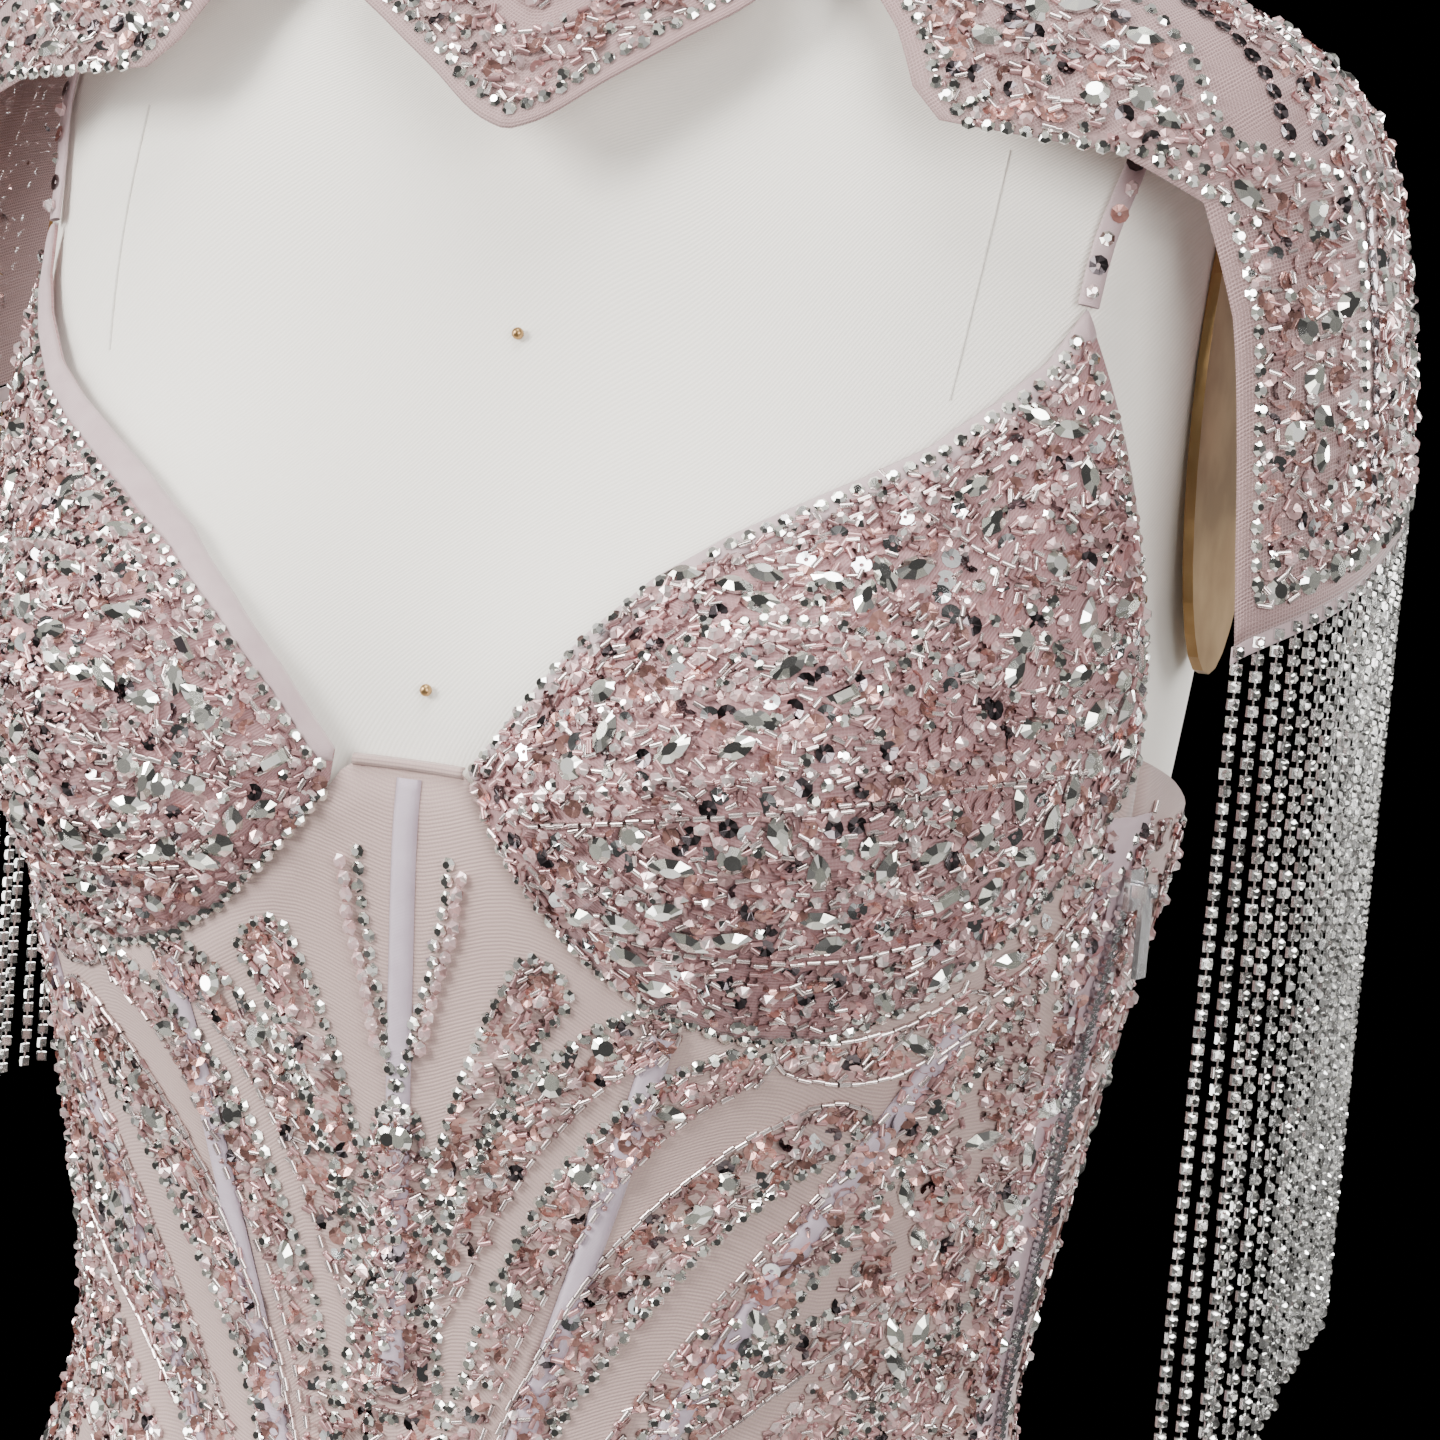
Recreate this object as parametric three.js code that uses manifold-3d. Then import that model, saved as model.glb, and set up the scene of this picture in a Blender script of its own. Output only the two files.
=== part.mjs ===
// Mermaid evening dress on a limbless dress form, with a beaded shoulder capelet and chain fringe.
// Millimetres, +Z up. The front faces -Y and the wearer's left is +X.
// The origin is on the floor, below the pole of the stand.
import * as THREE from 'three';
import * as BufferGeometryUtils from 'three/addons/utils/BufferGeometryUtils.js';
import Module from 'manifold-3d';

const wasm = await Module();
wasm.setup();

// Driving sizes of the cloth
const CLEAR = 0.5;           // gap between the form and the cloth on it
const WALL = 1.4;            // wall of the beaded tulle
const SEAM = 0.3;            // gap between two pieces at a seam
const CUP_SEAM = 0.9;        // gap under a cup, where two curved edges of different rows meet
const TRIM = 1.1;            // thickness of bindings, channels and tape
const TRIM_GAP = 0.45;       // between a panel and what lies on it
const TRIM_STEP = 13;        // length of one step of a trim that follows a panel
const BINDING_WIDTH = 6.5;
const BINDING_SHARE = 0.4;   // most of a cup's height that its binding may take
const CENTRE_BINDING_WIDTH = 2.8;
const CAPELET_WALL = 1.2;
const CHANNEL_WIDTH = 6.0;
const STRAP_WIDTH = 5.2;
const STRAP_THICKNESS = 1.8;
const STRAP_LIFT = 1.1;      // above the body line
const STRAP_STEPS = 24;
const CUP_DOME = 8.0;        // how far a cup swells over the line of its edges
const HEM_HEIGHT = 14;
const FOLD_COUNT = 12;
const FOLD_DEPTH = 24;       // of the skirt's folds, at the hem
const FOLD_START = 560;      // height where the folds begin, at the knee

// Driving sizes of the form and its stand
const TORSO_BOTTOM = 820;
const NECK_TOP = 1545;
const FORM_INSET = 3.3;      // the form is this much slimmer than the body line where the dress covers it
const INSET_FADE = [1300, 1385];
const ARM_CUT = 156;         // the form's sides are cut flat here for the arm plates
const ARM_CUT_LOW = 1250;    // and only above this height
const ARM_PLATE = { y: 4, z: 1338, halfDepth: 30, halfHeight: 62, thickness: 2.6 };
const PLATE_OUTLINE = { bevelEnabled: false, curveSegments: 16 };
const NECK_CAP = { y: 17, halfWidth: 47, halfDepth: 44, thickness: 6 };
const POLE_RADIUS = 16;
const BASE = {
  radius: 190, rim: 9, shoulderRadius: 54, shoulder: 15, hubRadius: 34, hubLow: 25, hubTopRadius: 26, hubTop: 62,
};

// Sections of the body from the floor up; a power of 2 is an ellipse, and more is squarer
const BODY_SECTIONS = [
  { z: 0, side: 370, front: 363, back: 363, power: 2.1 },
  { z: 150, side: 312, front: 302, back: 304, power: 2.1 },
  { z: 300, side: 240, front: 226, back: 230, power: 2.1 },
  { z: 420, side: 176, front: 162, back: 166, power: 2.1 },
  { z: 500, side: 142, front: 127, back: 130, power: 2.1 },
  { z: 560, side: 133, front: 114, back: 114, power: 2.1 },
  { z: 620, side: 136, front: 110, back: 108, power: 2.15 },
  { z: 690, side: 146, front: 107, back: 106, power: 2.2 },
  { z: 760, side: 158, front: 104, back: 110, power: 2.25 },
  { z: 820, side: 166, front: 104, back: 117, power: 2.25 },
  { z: 880, side: 168, front: 107, back: 122, power: 2.25 },
  { z: 930, side: 162, front: 108, back: 117, power: 2.25 },
  { z: 980, side: 148, front: 104, back: 106, power: 2.25 },
  { z: 1030, side: 133, front: 96, back: 94, power: 2.2 },
  { z: 1080, side: 124, front: 89, back: 85, power: 2.2 },
  { z: 1140, side: 133, front: 95, back: 87, power: 2.25 },
  { z: 1190, side: 142, front: 101, back: 90, power: 2.35 },
  { z: 1225, side: 149, front: 103, back: 93, power: 2.5 },
  { z: 1260, side: 153, front: 99, back: 95, power: 2.65 },
  { z: 1305, side: 157, front: 85, back: 96, power: 2.8 },
  { z: 1350, side: 160, front: 70, back: 95, power: 2.9 },
  { z: 1385, side: 161, front: 62, back: 91, power: 2.8 },
  { z: 1405, side: 158, front: 57, back: 87, power: 2.7 },
  { z: 1425, side: 150, front: 51, back: 83, power: 2.6 },
  { z: 1440, side: 131, front: 46, back: 78, power: 2.5 },
  { z: 1456, side: 92, front: 41, back: 73, power: 2.3 },
  { z: 1472, side: 60, front: 36, back: 68, power: 2.2 },
  { z: 1500, side: 51, front: 32, back: 66, power: 2.2 },
  { z: 1560, side: 50, front: 30, back: 66, power: 2.2 },
];
const BUST = { x: 78, z: 1256, spreadX: 46, spreadZ: 50, depth: 33 };

// Sections of the capelet, which stands off the shoulders and falls over the arm plates
const CAPELET_SECTIONS = [
  { z: 1240, side: 200, front: 94, back: 112, power: 2.7 },
  { z: 1307, side: 199, front: 92, back: 112, power: 2.7 },
  { z: 1347, side: 197, front: 90, back: 111, power: 2.7 },
  { z: 1387, side: 191, front: 84, back: 108, power: 2.7 },
  { z: 1408, side: 184, front: 76, back: 102, power: 2.7 },
  { z: 1423, side: 172, front: 69, back: 97, power: 2.7 },
  { z: 1437, side: 147, front: 61, back: 91, power: 2.7 },
  { z: 1452, side: 111, front: 51, back: 82, power: 2.5 },
  { z: 1468, side: 66.1, front: 38.4, back: 70.2, power: 2.21 },
  { z: 1480, side: 57.3, front: 35.9, back: 68.5, power: 2.2 },
  { z: 1494, side: 53.0, front: 33.9, back: 67.5, power: 2.2 },
  { z: 1510, side: 52.1, front: 32.8, back: 67.4, power: 2.2 },
];

// The outline of a cup, from the centre front to the side: its lower edge and its neckline.
// The neckline of the wearer's right cup is cut a little wider than that of the left one.
const CUP_EDGE = [
  { lowAngle: 10.4, lowZ: 1236.5, topAngle: 8.6, topAngleRight: 10.2, topZ: 1244 },
  { lowAngle: 14, lowZ: 1226, topAngle: 11.6, topAngleRight: 13.2, topZ: 1251 },
  { lowAngle: 19, lowZ: 1214.5, topAngle: 15.8, topAngleRight: 17.6, topZ: 1262 },
  { lowAngle: 24.5, lowZ: 1203.5, topAngle: 21.8, topAngleRight: 25, topZ: 1277 },
  { lowAngle: 31.5, lowZ: 1194, topAngle: 29, topAngleRight: 33.5, topZ: 1291 },
  { lowAngle: 41, lowZ: 1188, topAngle: 37, topAngleRight: 43.5, topZ: 1302 },
  { lowAngle: 50, lowZ: 1189, topAngle: 44, topAngleRight: 52, topZ: 1310 },
  { lowAngle: 58.4, lowZ: 1199, topAngle: 51, topAngleRight: 59.5, topZ: 1318 },
  { lowAngle: 65, lowZ: 1214, topAngle: 57, topAngleRight: 65, topZ: 1326 },
  { lowAngle: 71.5, lowZ: 1231, topAngle: 63, topAngleRight: 69.5, topZ: 1338 },
  { lowAngle: 76.6, lowZ: 1247, topAngle: 67, topAngleRight: 71.8, topZ: 1348 },
  { lowAngle: 79.2, lowZ: 1258, topAngle: 70.1, topAngleRight: 73, topZ: 1361 },
];
// The top edge of the dress behind the cups
const BACK_EDGE = [
  { angle: 90, z: 1250 },
  { angle: 108, z: 1234 },
  { angle: 135, z: 1211 },
  { angle: 180, z: 1196 },
];
const FRONT_TOP = 1243.5;    // top edge between the cups
const FRONT_TOP_ANGLE = 7.9;

// Seams between the gores, as angles from the centre front
const PRINCESS_SEAM = [
  { z: 0, angle: 30 },
  { z: 600, angle: 25 },
  { z: 900, angle: 20 },
  { z: 1040, angle: 19 },
  { z: 1093, angle: 22 },
  { z: 1145, angle: 28.8 },
  { z: 1196, angle: 35 },
  { z: 1260, angle: 38 },
];
const SIDE_SEAM = [
  { z: 0, angle: 90 },
  { z: 1000, angle: 89 },
  { z: 1100, angle: 87 },
  { z: 1128, angle: 85.3 },
  { z: 1154, angle: 83.4 },
  { z: 1182, angle: 82 },
  { z: 1260, angle: 79.6 },
];
const BACK_SEAM = [
  { z: 0, angle: 150 },
  { z: 700, angle: 148 },
  { z: 1080, angle: 152 },
  { z: 1260, angle: 146 },
];
// Heights of the rows of a gore, as shares of the way from the hem to the top edge
const GORE_ROWS = [0, 0.1, 0.2, 0.3, 0.37, 0.43, 0.49, 0.56, 0.63, 0.69, 0.735, 0.775, 0.815, 0.855, 0.895,
  0.93, 0.965, 1];

// Boning channels on the front, as places across (x) and up (z)
const CHANNELS = [
  { name: 'channel_centre', fromX: 0, fromZ: 1239, toX: 0, toZ: 1092 },
  { name: 'channel_front_left', fromX: 65, fromZ: 1187, toX: 12, toZ: 1012 },
  { name: 'channel_front_right', fromX: -65, fromZ: 1187, toX: -12, toZ: 1012 },
  { name: 'channel_side_left', fromX: 124, fromZ: 1193, toX: 36, toZ: 1032 },
  { name: 'channel_side_right', fromX: -124, fromZ: 1193, toX: -36, toZ: 1032 },
];

// The strap's way over the shoulder, from the tip of the cup to the back of the dress
const STRAP_PATH = [
  { angle: 70.2, z: 1361.6 },
  { angle: 71.6, z: 1376 },
  { angle: 74.4, z: 1394 },
  { angle: 78, z: 1412 },
  { angle: 84, z: 1425 },
  { angle: 90, z: 1431 },
  { angle: 98, z: 1430 },
  { angle: 107, z: 1418 },
  { angle: 116, z: 1390 },
  { angle: 125, z: 1340 },
  { angle: 133, z: 1280 },
  { angle: 138, z: 1211.6 },
];

// The centre piece of the capelet: its lower edge by angle from the centre front
const LOBE_EDGE = [
  { angle: 0, z: 1391 },
  { angle: 5, z: 1393.5 },
  { angle: 16, z: 1404 },
  { angle: 28, z: 1415 },
  { angle: 40, z: 1427 },
  { angle: 48.5, z: 1447 },
];
const COLLAR = { low: 1470, high: 1494 };
// The shoulder piece: front and back angle of each row, from the collar down
const SHOULDER_ROWS = [
  { z: 1469.4, front: 48.9, back: 122 },
  { z: 1458, front: 49.2, back: 122 },
  { z: 1447, front: 50.2, back: 122 },
  { z: 1435, front: 52.3, back: 121.5 },
  { z: 1421, front: 53.5, back: 121 },
  { z: 1408, front: 53.4, back: 121 },
  { z: 1400.5, front: 54.8, back: 120 },
  { z: 1396.5, front: 66, back: 117 },
  { z: 1387, front: 70.6, back: 112 },
  { z: 1362, front: 71.8, back: 108 },
  { z: 1336, front: 72.1, back: 107 },
  { z: 1311, front: 72.4, back: 106.4 },
  { z: 1288, front: 72.8, back: 106 },
];
const CAP_COLUMNS = 14;
const CAP_TOP = 1400;        // below here the shoulder piece is a cap over the arm
const CAP_RISE_POWER = 0.8;
const CAP_RISE = 36;         // the cap's lower edge is this much higher at its back than at its front
const BACK_YOKE_LOW = 1404;

// The chain fringe under each cap
const FRINGE_COUNT = 46;
const STRAND = 2.3;          // side of a strand
const FRINGE_STRIP = { height: 4, thickness: 2.3, out: 0.6 };
const FRINGE_ENDS = [
  { share: 0, z: 1074 },
  { share: 0.15, z: 1080 },
  { share: 0.3, z: 1102 },
  { share: 0.6, z: 1115 },
  { share: 1, z: 1119 },
];

// Zip in the wearer's left side seam
const ZIP = {
  top: 1243, bottom: 935, tapeWidth: 24, coilStart: 2, coilWidth: 4.4, coilThickness: 1.6, sliderZ: 1226,
};
const SLIDER = {
  length: 10, width: 7.6, plate: 1.6, lugGap: 3.4, lugLength: 3.2, lugHigh: 5.7, pinRadius: 0.8, pinHeight: 4.2,
};
const TAB = {
  length: 21, width: 5.4, thickness: 1.4, neckWidth: 2.8, neckLength: 3.4, eye: 1.15, eyeOuter: 2.0, lap: 0.4,
};
const BUTTON = { radius: 5.0, height: 3.0, z: 1480 };

const COLOURS = {
  form: [0xe9e4da, 0.9, 0],
  brass: [0xb99a4e, 0.3, 1],
  pole: [0xb9bcc0, 0.3, 1],
  base: [0x2b2b2d, 0.45, 0.2],
  tulle: [0xc9a9b1, 0.7, 0],
  binding: [0xbea5b0, 0.55, 0],
  channel: [0xbcb0c8, 0.45, 0],
  chain: [0xd7d9dc, 0.2, 0.9],
  zip: [0xc3a0aa, 0.5, 0],
  metal: [0xcfd0d2, 0.25, 1],
};

const rad = THREE.MathUtils.degToRad;

// A smooth value between the rows of a table, by cubic steps with limited slopes
function tableCurve(rows, key, value) {
  const xs = rows.map((row) => row[key]);
  const ys = rows.map((row) => row[value]);
  const steps = xs.slice(1).map((x, i) => (ys[i + 1] - ys[i]) / (x - xs[i]));
  const slopes = xs.map((x, i) => {
    if (i === 0) return steps[0];
    if (i === xs.length - 1) return steps[i - 1];
    if (steps[i - 1] * steps[i] <= 0) return 0;
    return 2 * steps[i - 1] * steps[i] / (steps[i - 1] + steps[i]);
  });
  return (x) => {
    let i = 0;
    while (i < xs.length - 2 && x > xs[i + 1]) i += 1;
    const width = xs[i + 1] - xs[i];
    const t = THREE.MathUtils.clamp((x - xs[i]) / width, 0, 1);
    const keep = (1 + 2 * t) * (1 - t) ** 2 * ys[i] + t * t * (3 - 2 * t) * ys[i + 1];
    return keep + width * t * (1 - t) * ((1 - t) * slopes[i] - t * slopes[i + 1]);
  };
}

const sectionCurves = (sections) => ({
  side: tableCurve(sections, 'z', 'side'),
  front: tableCurve(sections, 'z', 'front'),
  back: tableCurve(sections, 'z', 'back'),
  power: tableCurve(sections, 'z', 'power'),
});
const bodyCurves = sectionCurves(BODY_SECTIONS);
const capeletCurves = sectionCurves(CAPELET_SECTIONS);

function sectionRadius(curves, angle, z) {
  const across = Math.abs(Math.sin(angle)) / curves.side(z);
  const deep = Math.abs(Math.cos(angle)) / (Math.cos(angle) > 0 ? curves.front(z) : curves.back(z));
  const power = curves.power(z);
  return (across ** power + deep ** power) ** (-1 / power);
}

// Radius of the body at an angle from the centre front, with the bust and the folds of the skirt
function bodyRadius(angle, z) {
  const plain = sectionRadius(bodyCurves, angle, z);
  const x = plain * Math.sin(angle);
  const facing = Math.max(Math.cos(angle), 0);
  const up = ((z - BUST.z) / BUST.spreadZ) ** 2;
  const left = Math.exp(-(((x - BUST.x) / BUST.spreadX) ** 2) - up);
  const right = Math.exp(-(((x + BUST.x) / BUST.spreadX) ** 2) - up);
  const drop = Math.max(0, (FOLD_START - z) / (FOLD_START - HEM_HEIGHT));
  const fold = FOLD_DEPTH * drop ** 1.5 * (Math.cos(FOLD_COUNT * angle) - 1) / 2;
  return plain + BUST.depth * facing * (left + right) + fold;
}

const capeletRadius = (angle, z) => sectionRadius(capeletCurves, angle, z);

function surfacePoint(radius, angle, z) {
  const r = radius(angle, z);
  return new THREE.Vector3(r * Math.sin(angle), -r * Math.cos(angle), z);
}

function surfaceNormal(radius, angle, z) {
  const turn = 0.01;
  const rise = 1;
  const around = surfacePoint(radius, angle + turn, z).sub(surfacePoint(radius, angle - turn, z));
  const upward = surfacePoint(radius, angle, z + rise).sub(surfacePoint(radius, angle, z - rise));
  return around.cross(upward).normalize();
}

const lifted = (radius, angle, z, height) =>
  surfacePoint(radius, angle, z).addScaledVector(surfaceNormal(radius, angle, z), height);

// One closed geometry from points and triangles
function closedGeometry(points, triangles) {
  const geometry = new THREE.BufferGeometry();
  const places = points.flatMap((point) => point.toArray());
  geometry.setAttribute('position', new THREE.Float32BufferAttribute(places, 3));
  geometry.setIndex(triangles.flat());
  return geometry;
}

// A cloth wall: place(u, v) gives the inner and the outer point, and u runs to the wearer's left
function clothWall(columns, rows, place) {
  const points = [];
  const uAt = Array.isArray(columns) ? columns : Array.from({ length: columns + 1 }, (_, i) => i / columns);
  const vAt = Array.isArray(rows) ? rows : Array.from({ length: rows + 1 }, (_, i) => i / rows);
  for (const v of vAt) {
    for (const u of uAt) points.push(...place(u, v));
  }
  const across = uAt.length;
  const inner = (i, j) => 2 * (j * across + i);
  const outer = (i, j) => inner(i, j) + 1;
  const triangles = [];
  const quad = (a, b, c, d) => triangles.push([a, b, c], [a, c, d]);
  const lastColumn = across - 1;
  const lastRow = vAt.length - 1;
  for (let j = 0; j < lastRow; j += 1) {
    for (let i = 0; i < lastColumn; i += 1) {
      quad(outer(i, j), outer(i + 1, j), outer(i + 1, j + 1), outer(i, j + 1));
      quad(inner(i, j), inner(i, j + 1), inner(i + 1, j + 1), inner(i + 1, j));
    }
    quad(inner(0, j), outer(0, j), outer(0, j + 1), inner(0, j + 1));
    quad(outer(lastColumn, j), inner(lastColumn, j), inner(lastColumn, j + 1), outer(lastColumn, j + 1));
  }
  for (let i = 0; i < lastColumn; i += 1) {
    quad(inner(i, 0), inner(i + 1, 0), outer(i + 1, 0), outer(i, 0));
    quad(outer(i, lastRow), outer(i + 1, lastRow), inner(i + 1, lastRow), inner(i, lastRow));
  }
  return closedGeometry(points, triangles);
}

// A closed ring wall, where the last column meets the first
function ringWall(columns, heights, place) {
  const points = [];
  for (const z of heights) {
    for (let i = 0; i < columns; i += 1) points.push(...place(2 * Math.PI * i / columns, z));
  }
  const triangles = [];
  const inner = (i, j) => 2 * (j * columns + (i % columns));
  const outer = (i, j) => inner(i, j) + 1;
  const quad = (a, b, c, d) => triangles.push([a, b, c], [a, c, d]);
  const last = heights.length - 1;
  for (let i = 0; i < columns; i += 1) {
    for (let j = 0; j < last; j += 1) {
      quad(outer(i, j), outer(i + 1, j), outer(i + 1, j + 1), outer(i, j + 1));
      quad(inner(i, j), inner(i, j + 1), inner(i + 1, j + 1), inner(i + 1, j));
    }
    quad(inner(i, 0), inner(i + 1, 0), outer(i + 1, 0), outer(i, 0));
    quad(outer(i, last), outer(i + 1, last), inner(i + 1, last), inner(i, last));
  }
  return closedGeometry(points, triangles);
}

// A bar of the given section swept through frames with a place, a side way and an out way
function sweptBar(frames, section) {
  const points = frames.flatMap((frame) => section.map(([side, out]) =>
    frame.point.clone().addScaledVector(frame.side, side).addScaledVector(frame.out, out)));
  const count = section.length;
  const triangles = [];
  for (let j = 0; j < frames.length - 1; j += 1) {
    for (let i = 0; i < count; i += 1) {
      const next = (i + 1) % count;
      const a = j * count + i;
      const b = j * count + next;
      triangles.push([a, b, b + count], [a, b + count, a + count]);
    }
  }
  const end = (frames.length - 1) * count;
  for (let i = 1; i < count - 1; i += 1) {
    triangles.push([0, i + 1, i], [end, end + i, end + i + 1]);
  }
  return closedGeometry(points, triangles);
}

// A flat ribbon on a surface, through rows of angle, z and lift
function ribbon(radius, path, width, low, high) {
  const centres = path.map((row) => surfacePoint(radius, row.angle, row.z));
  const frames = path.map((row, i) => {
    const ahead = centres[Math.min(i + 1, path.length - 1)].clone();
    const along = ahead.sub(centres[Math.max(i - 1, 0)]).normalize();
    const out = surfaceNormal(radius, row.angle, row.z);
    const side = new THREE.Vector3().crossVectors(out, along).normalize();
    return { point: centres[i].clone().addScaledVector(out, row.lift ?? 0), side, out };
  });
  const half = width / 2;
  return sweptBar(frames, [[-half, low], [half, low], [half, high], [-half, high]]);
}

// Manifold in and out
function toManifold(geometry) {
  const bare = geometry.clone();
  for (const name of Object.keys(bare.attributes)) {
    if (name !== 'position') bare.deleteAttribute(name);
  }
  const merged = BufferGeometryUtils.mergeVertices(bare, 1e-4);
  return new wasm.Manifold(new wasm.Mesh({
    numProp: 3,
    vertProperties: new Float32Array(merged.attributes.position.array),
    triVerts: new Uint32Array(merged.index.array),
  }));
}

function fromManifold(solid) {
  const mesh = solid.getMesh();
  const geometry = new THREE.BufferGeometry();
  geometry.setAttribute('position', new THREE.BufferAttribute(new Float32Array(mesh.vertProperties), 3));
  geometry.setIndex(new THREE.BufferAttribute(new Uint32Array(mesh.triVerts), 1));
  return geometry;
}

const joined = (geometries) => fromManifold(geometries.map(toManifold).reduce((sum, next) => sum.add(next)));

const dress = new THREE.Group();

function addPiece(name, geometry, finish) {
  const [color, roughness, metalness] = COLOURS[finish];
  const mesh = new THREE.Mesh(geometry, new THREE.MeshStandardMaterial({ color, roughness, metalness }));
  mesh.name = name;
  dress.add(mesh);
  return mesh;
}

// Dress form: one smooth body with its sides cut flat at the arms
function formTorso() {
  const columns = 32;
  const heights = [TORSO_BOTTOM, 885, 950, 1010, 1060, 1105, 1160, 1205, 1240, 1265, 1300, 1345, 1380, 1405,
    1422, 1436, 1448, 1456, 1462, 1468, 1474, 1482, 1496, NECK_TOP];
  const points = heights.flatMap((z) => Array.from({ length: columns }, (_, i) => {
    const inset = FORM_INSET * (1 - THREE.MathUtils.smoothstep(z, ...INSET_FADE));
    const slim = (angle, height) => bodyRadius(angle, height) - inset;
    const point = surfacePoint(slim, 2 * Math.PI * i / columns, z);
    if (z > ARM_CUT_LOW) point.x = THREE.MathUtils.clamp(point.x, -ARM_CUT, ARM_CUT);
    return point;
  }));
  const triangles = [];
  const last = heights.length - 1;
  for (let j = 0; j < last; j += 1) {
    for (let i = 0; i < columns; i += 1) {
      const next = (i + 1) % columns;
      const [a, b] = [j * columns + i, j * columns + next];
      triangles.push([a, b, b + columns], [a, b + columns, a + columns]);
    }
  }
  const bottom = points.push(new THREE.Vector3(0, 0, TORSO_BOTTOM)) - 1;
  const top = points.push(new THREE.Vector3(0, 0, NECK_TOP)) - 1;
  for (let i = 0; i < columns; i += 1) {
    const next = (i + 1) % columns;
    triangles.push([bottom, next, i], [top, last * columns + i, last * columns + next]);
  }
  return closedGeometry(points, triangles);
}

// Turns an outline in the x-y plane into a plate that stands along the x axis
function sidePlate(halfDepth, halfHeight, thickness) {
  const outline = new THREE.Shape().absellipse(0, 0, halfDepth, halfHeight, 0, 2 * Math.PI, false, 0);
  const plate = new THREE.ExtrudeGeometry(outline, { depth: thickness, ...PLATE_OUTLINE });
  return plate.rotateX(Math.PI / 2).rotateZ(Math.PI / 2);
}

function addStand() {
  addPiece('form_torso', formTorso(), 'form');
  for (const [side, sign] of [['left', 1], ['right', -1]]) {
    const plate = addPiece(`form_arm_plate_${side}`,
      sidePlate(ARM_PLATE.halfDepth, ARM_PLATE.halfHeight, ARM_PLATE.thickness), 'brass');
    const inner = sign > 0 ? ARM_CUT + SEAM : -ARM_CUT - SEAM - ARM_PLATE.thickness;
    plate.position.set(inner, ARM_PLATE.y, ARM_PLATE.z);
  }
  const { y, halfWidth, halfDepth, thickness } = NECK_CAP;
  const neckOutline = new THREE.Shape().absellipse(0, y, halfWidth, halfDepth, 0, 2 * Math.PI, false, 0);
  const neckCap = new THREE.ExtrudeGeometry(neckOutline, { depth: thickness, ...PLATE_OUTLINE });
  addPiece('form_neck_cap', neckCap, 'brass').position.z = NECK_TOP + SEAM;

  const poleLength = TORSO_BOTTOM - BASE.hubTop - 2 * SEAM;
  const pole = new THREE.CylinderGeometry(POLE_RADIUS, POLE_RADIUS, poleLength, 24).rotateX(Math.PI / 2);
  addPiece('stand_pole', pole, 'pole').position.z = BASE.hubTop + SEAM + poleLength / 2;
  const profile = [[0, 0], [BASE.radius, 0], [BASE.radius, BASE.rim], [BASE.shoulderRadius, BASE.shoulder],
    [BASE.hubRadius, BASE.hubLow], [BASE.hubTopRadius, BASE.hubTop], [0, BASE.hubTop]];
  const base = new THREE.LatheGeometry(profile.map(([x, y]) => new THREE.Vector2(x, y)), 36);
  addPiece('stand_base', base.rotateX(Math.PI / 2), 'base');
}

// Height of the dress's top edge at an angle from the centre front
const topRows = [
  { angle: 0, z: FRONT_TOP },
  { angle: FRONT_TOP_ANGLE, z: FRONT_TOP },
  ...CUP_EDGE.map((row) => ({ angle: row.lowAngle, z: row.lowZ - CUP_SEAM })),
  ...BACK_EDGE,
];
function topEdge(angle) {
  const degrees = THREE.MathUtils.radToDeg(Math.acos(Math.cos(angle)));
  const i = Math.max(1, topRows.findIndex((row) => row.angle >= degrees));
  const [a, b] = [topRows[i - 1], topRows[i]];
  return THREE.MathUtils.mapLinear(degrees, a.angle, b.angle, a.z, b.z);
}

// Radius of the dress's own facets, which run straight from row to row of the gores
function panelRadius(angle, z) {
  const share = (z - HEM_HEIGHT) / (topEdge(angle) - HEM_HEIGHT);
  if (share >= 1 || share <= 0) return bodyRadius(angle, z);
  const row = GORE_ROWS.findIndex((value) => value > share);
  const heights = [GORE_ROWS[row - 1], GORE_ROWS[row]].map((value) =>
    THREE.MathUtils.lerp(HEM_HEIGHT, topEdge(angle), value));
  const radii = heights.map((height) => bodyRadius(angle, height));
  return THREE.MathUtils.mapLinear(z, ...heights, ...radii);
}

const princessSeam = tableCurve(PRINCESS_SEAM, 'z', 'angle');
const sideSeam = tableCurve(SIDE_SEAM, 'z', 'angle');
const backSeam = tableCurve(BACK_SEAM, 'z', 'angle');

// A gore between two seams, from the hem to the top edge
function gore(fromSeam, toSeam, columns) {
  return clothWall(columns, GORE_ROWS, (u, v) => {
    const edge = (z) => {
      const gap = SEAM / 2 / bodyRadius(rad(fromSeam(z)), z);
      return THREE.MathUtils.lerp(rad(fromSeam(z)) + gap, rad(toSeam(z)) - gap, u);
    };
    let z = THREE.MathUtils.lerp(HEM_HEIGHT, FRONT_TOP, v);
    for (let pass = 0; pass < 6; pass += 1) z = THREE.MathUtils.lerp(HEM_HEIGHT, topEdge(edge(z)), v);
    const angle = edge(z);
    return [CLEAR, CLEAR + WALL].map((height) => lifted(bodyRadius, angle, z, height));
  });
}

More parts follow.
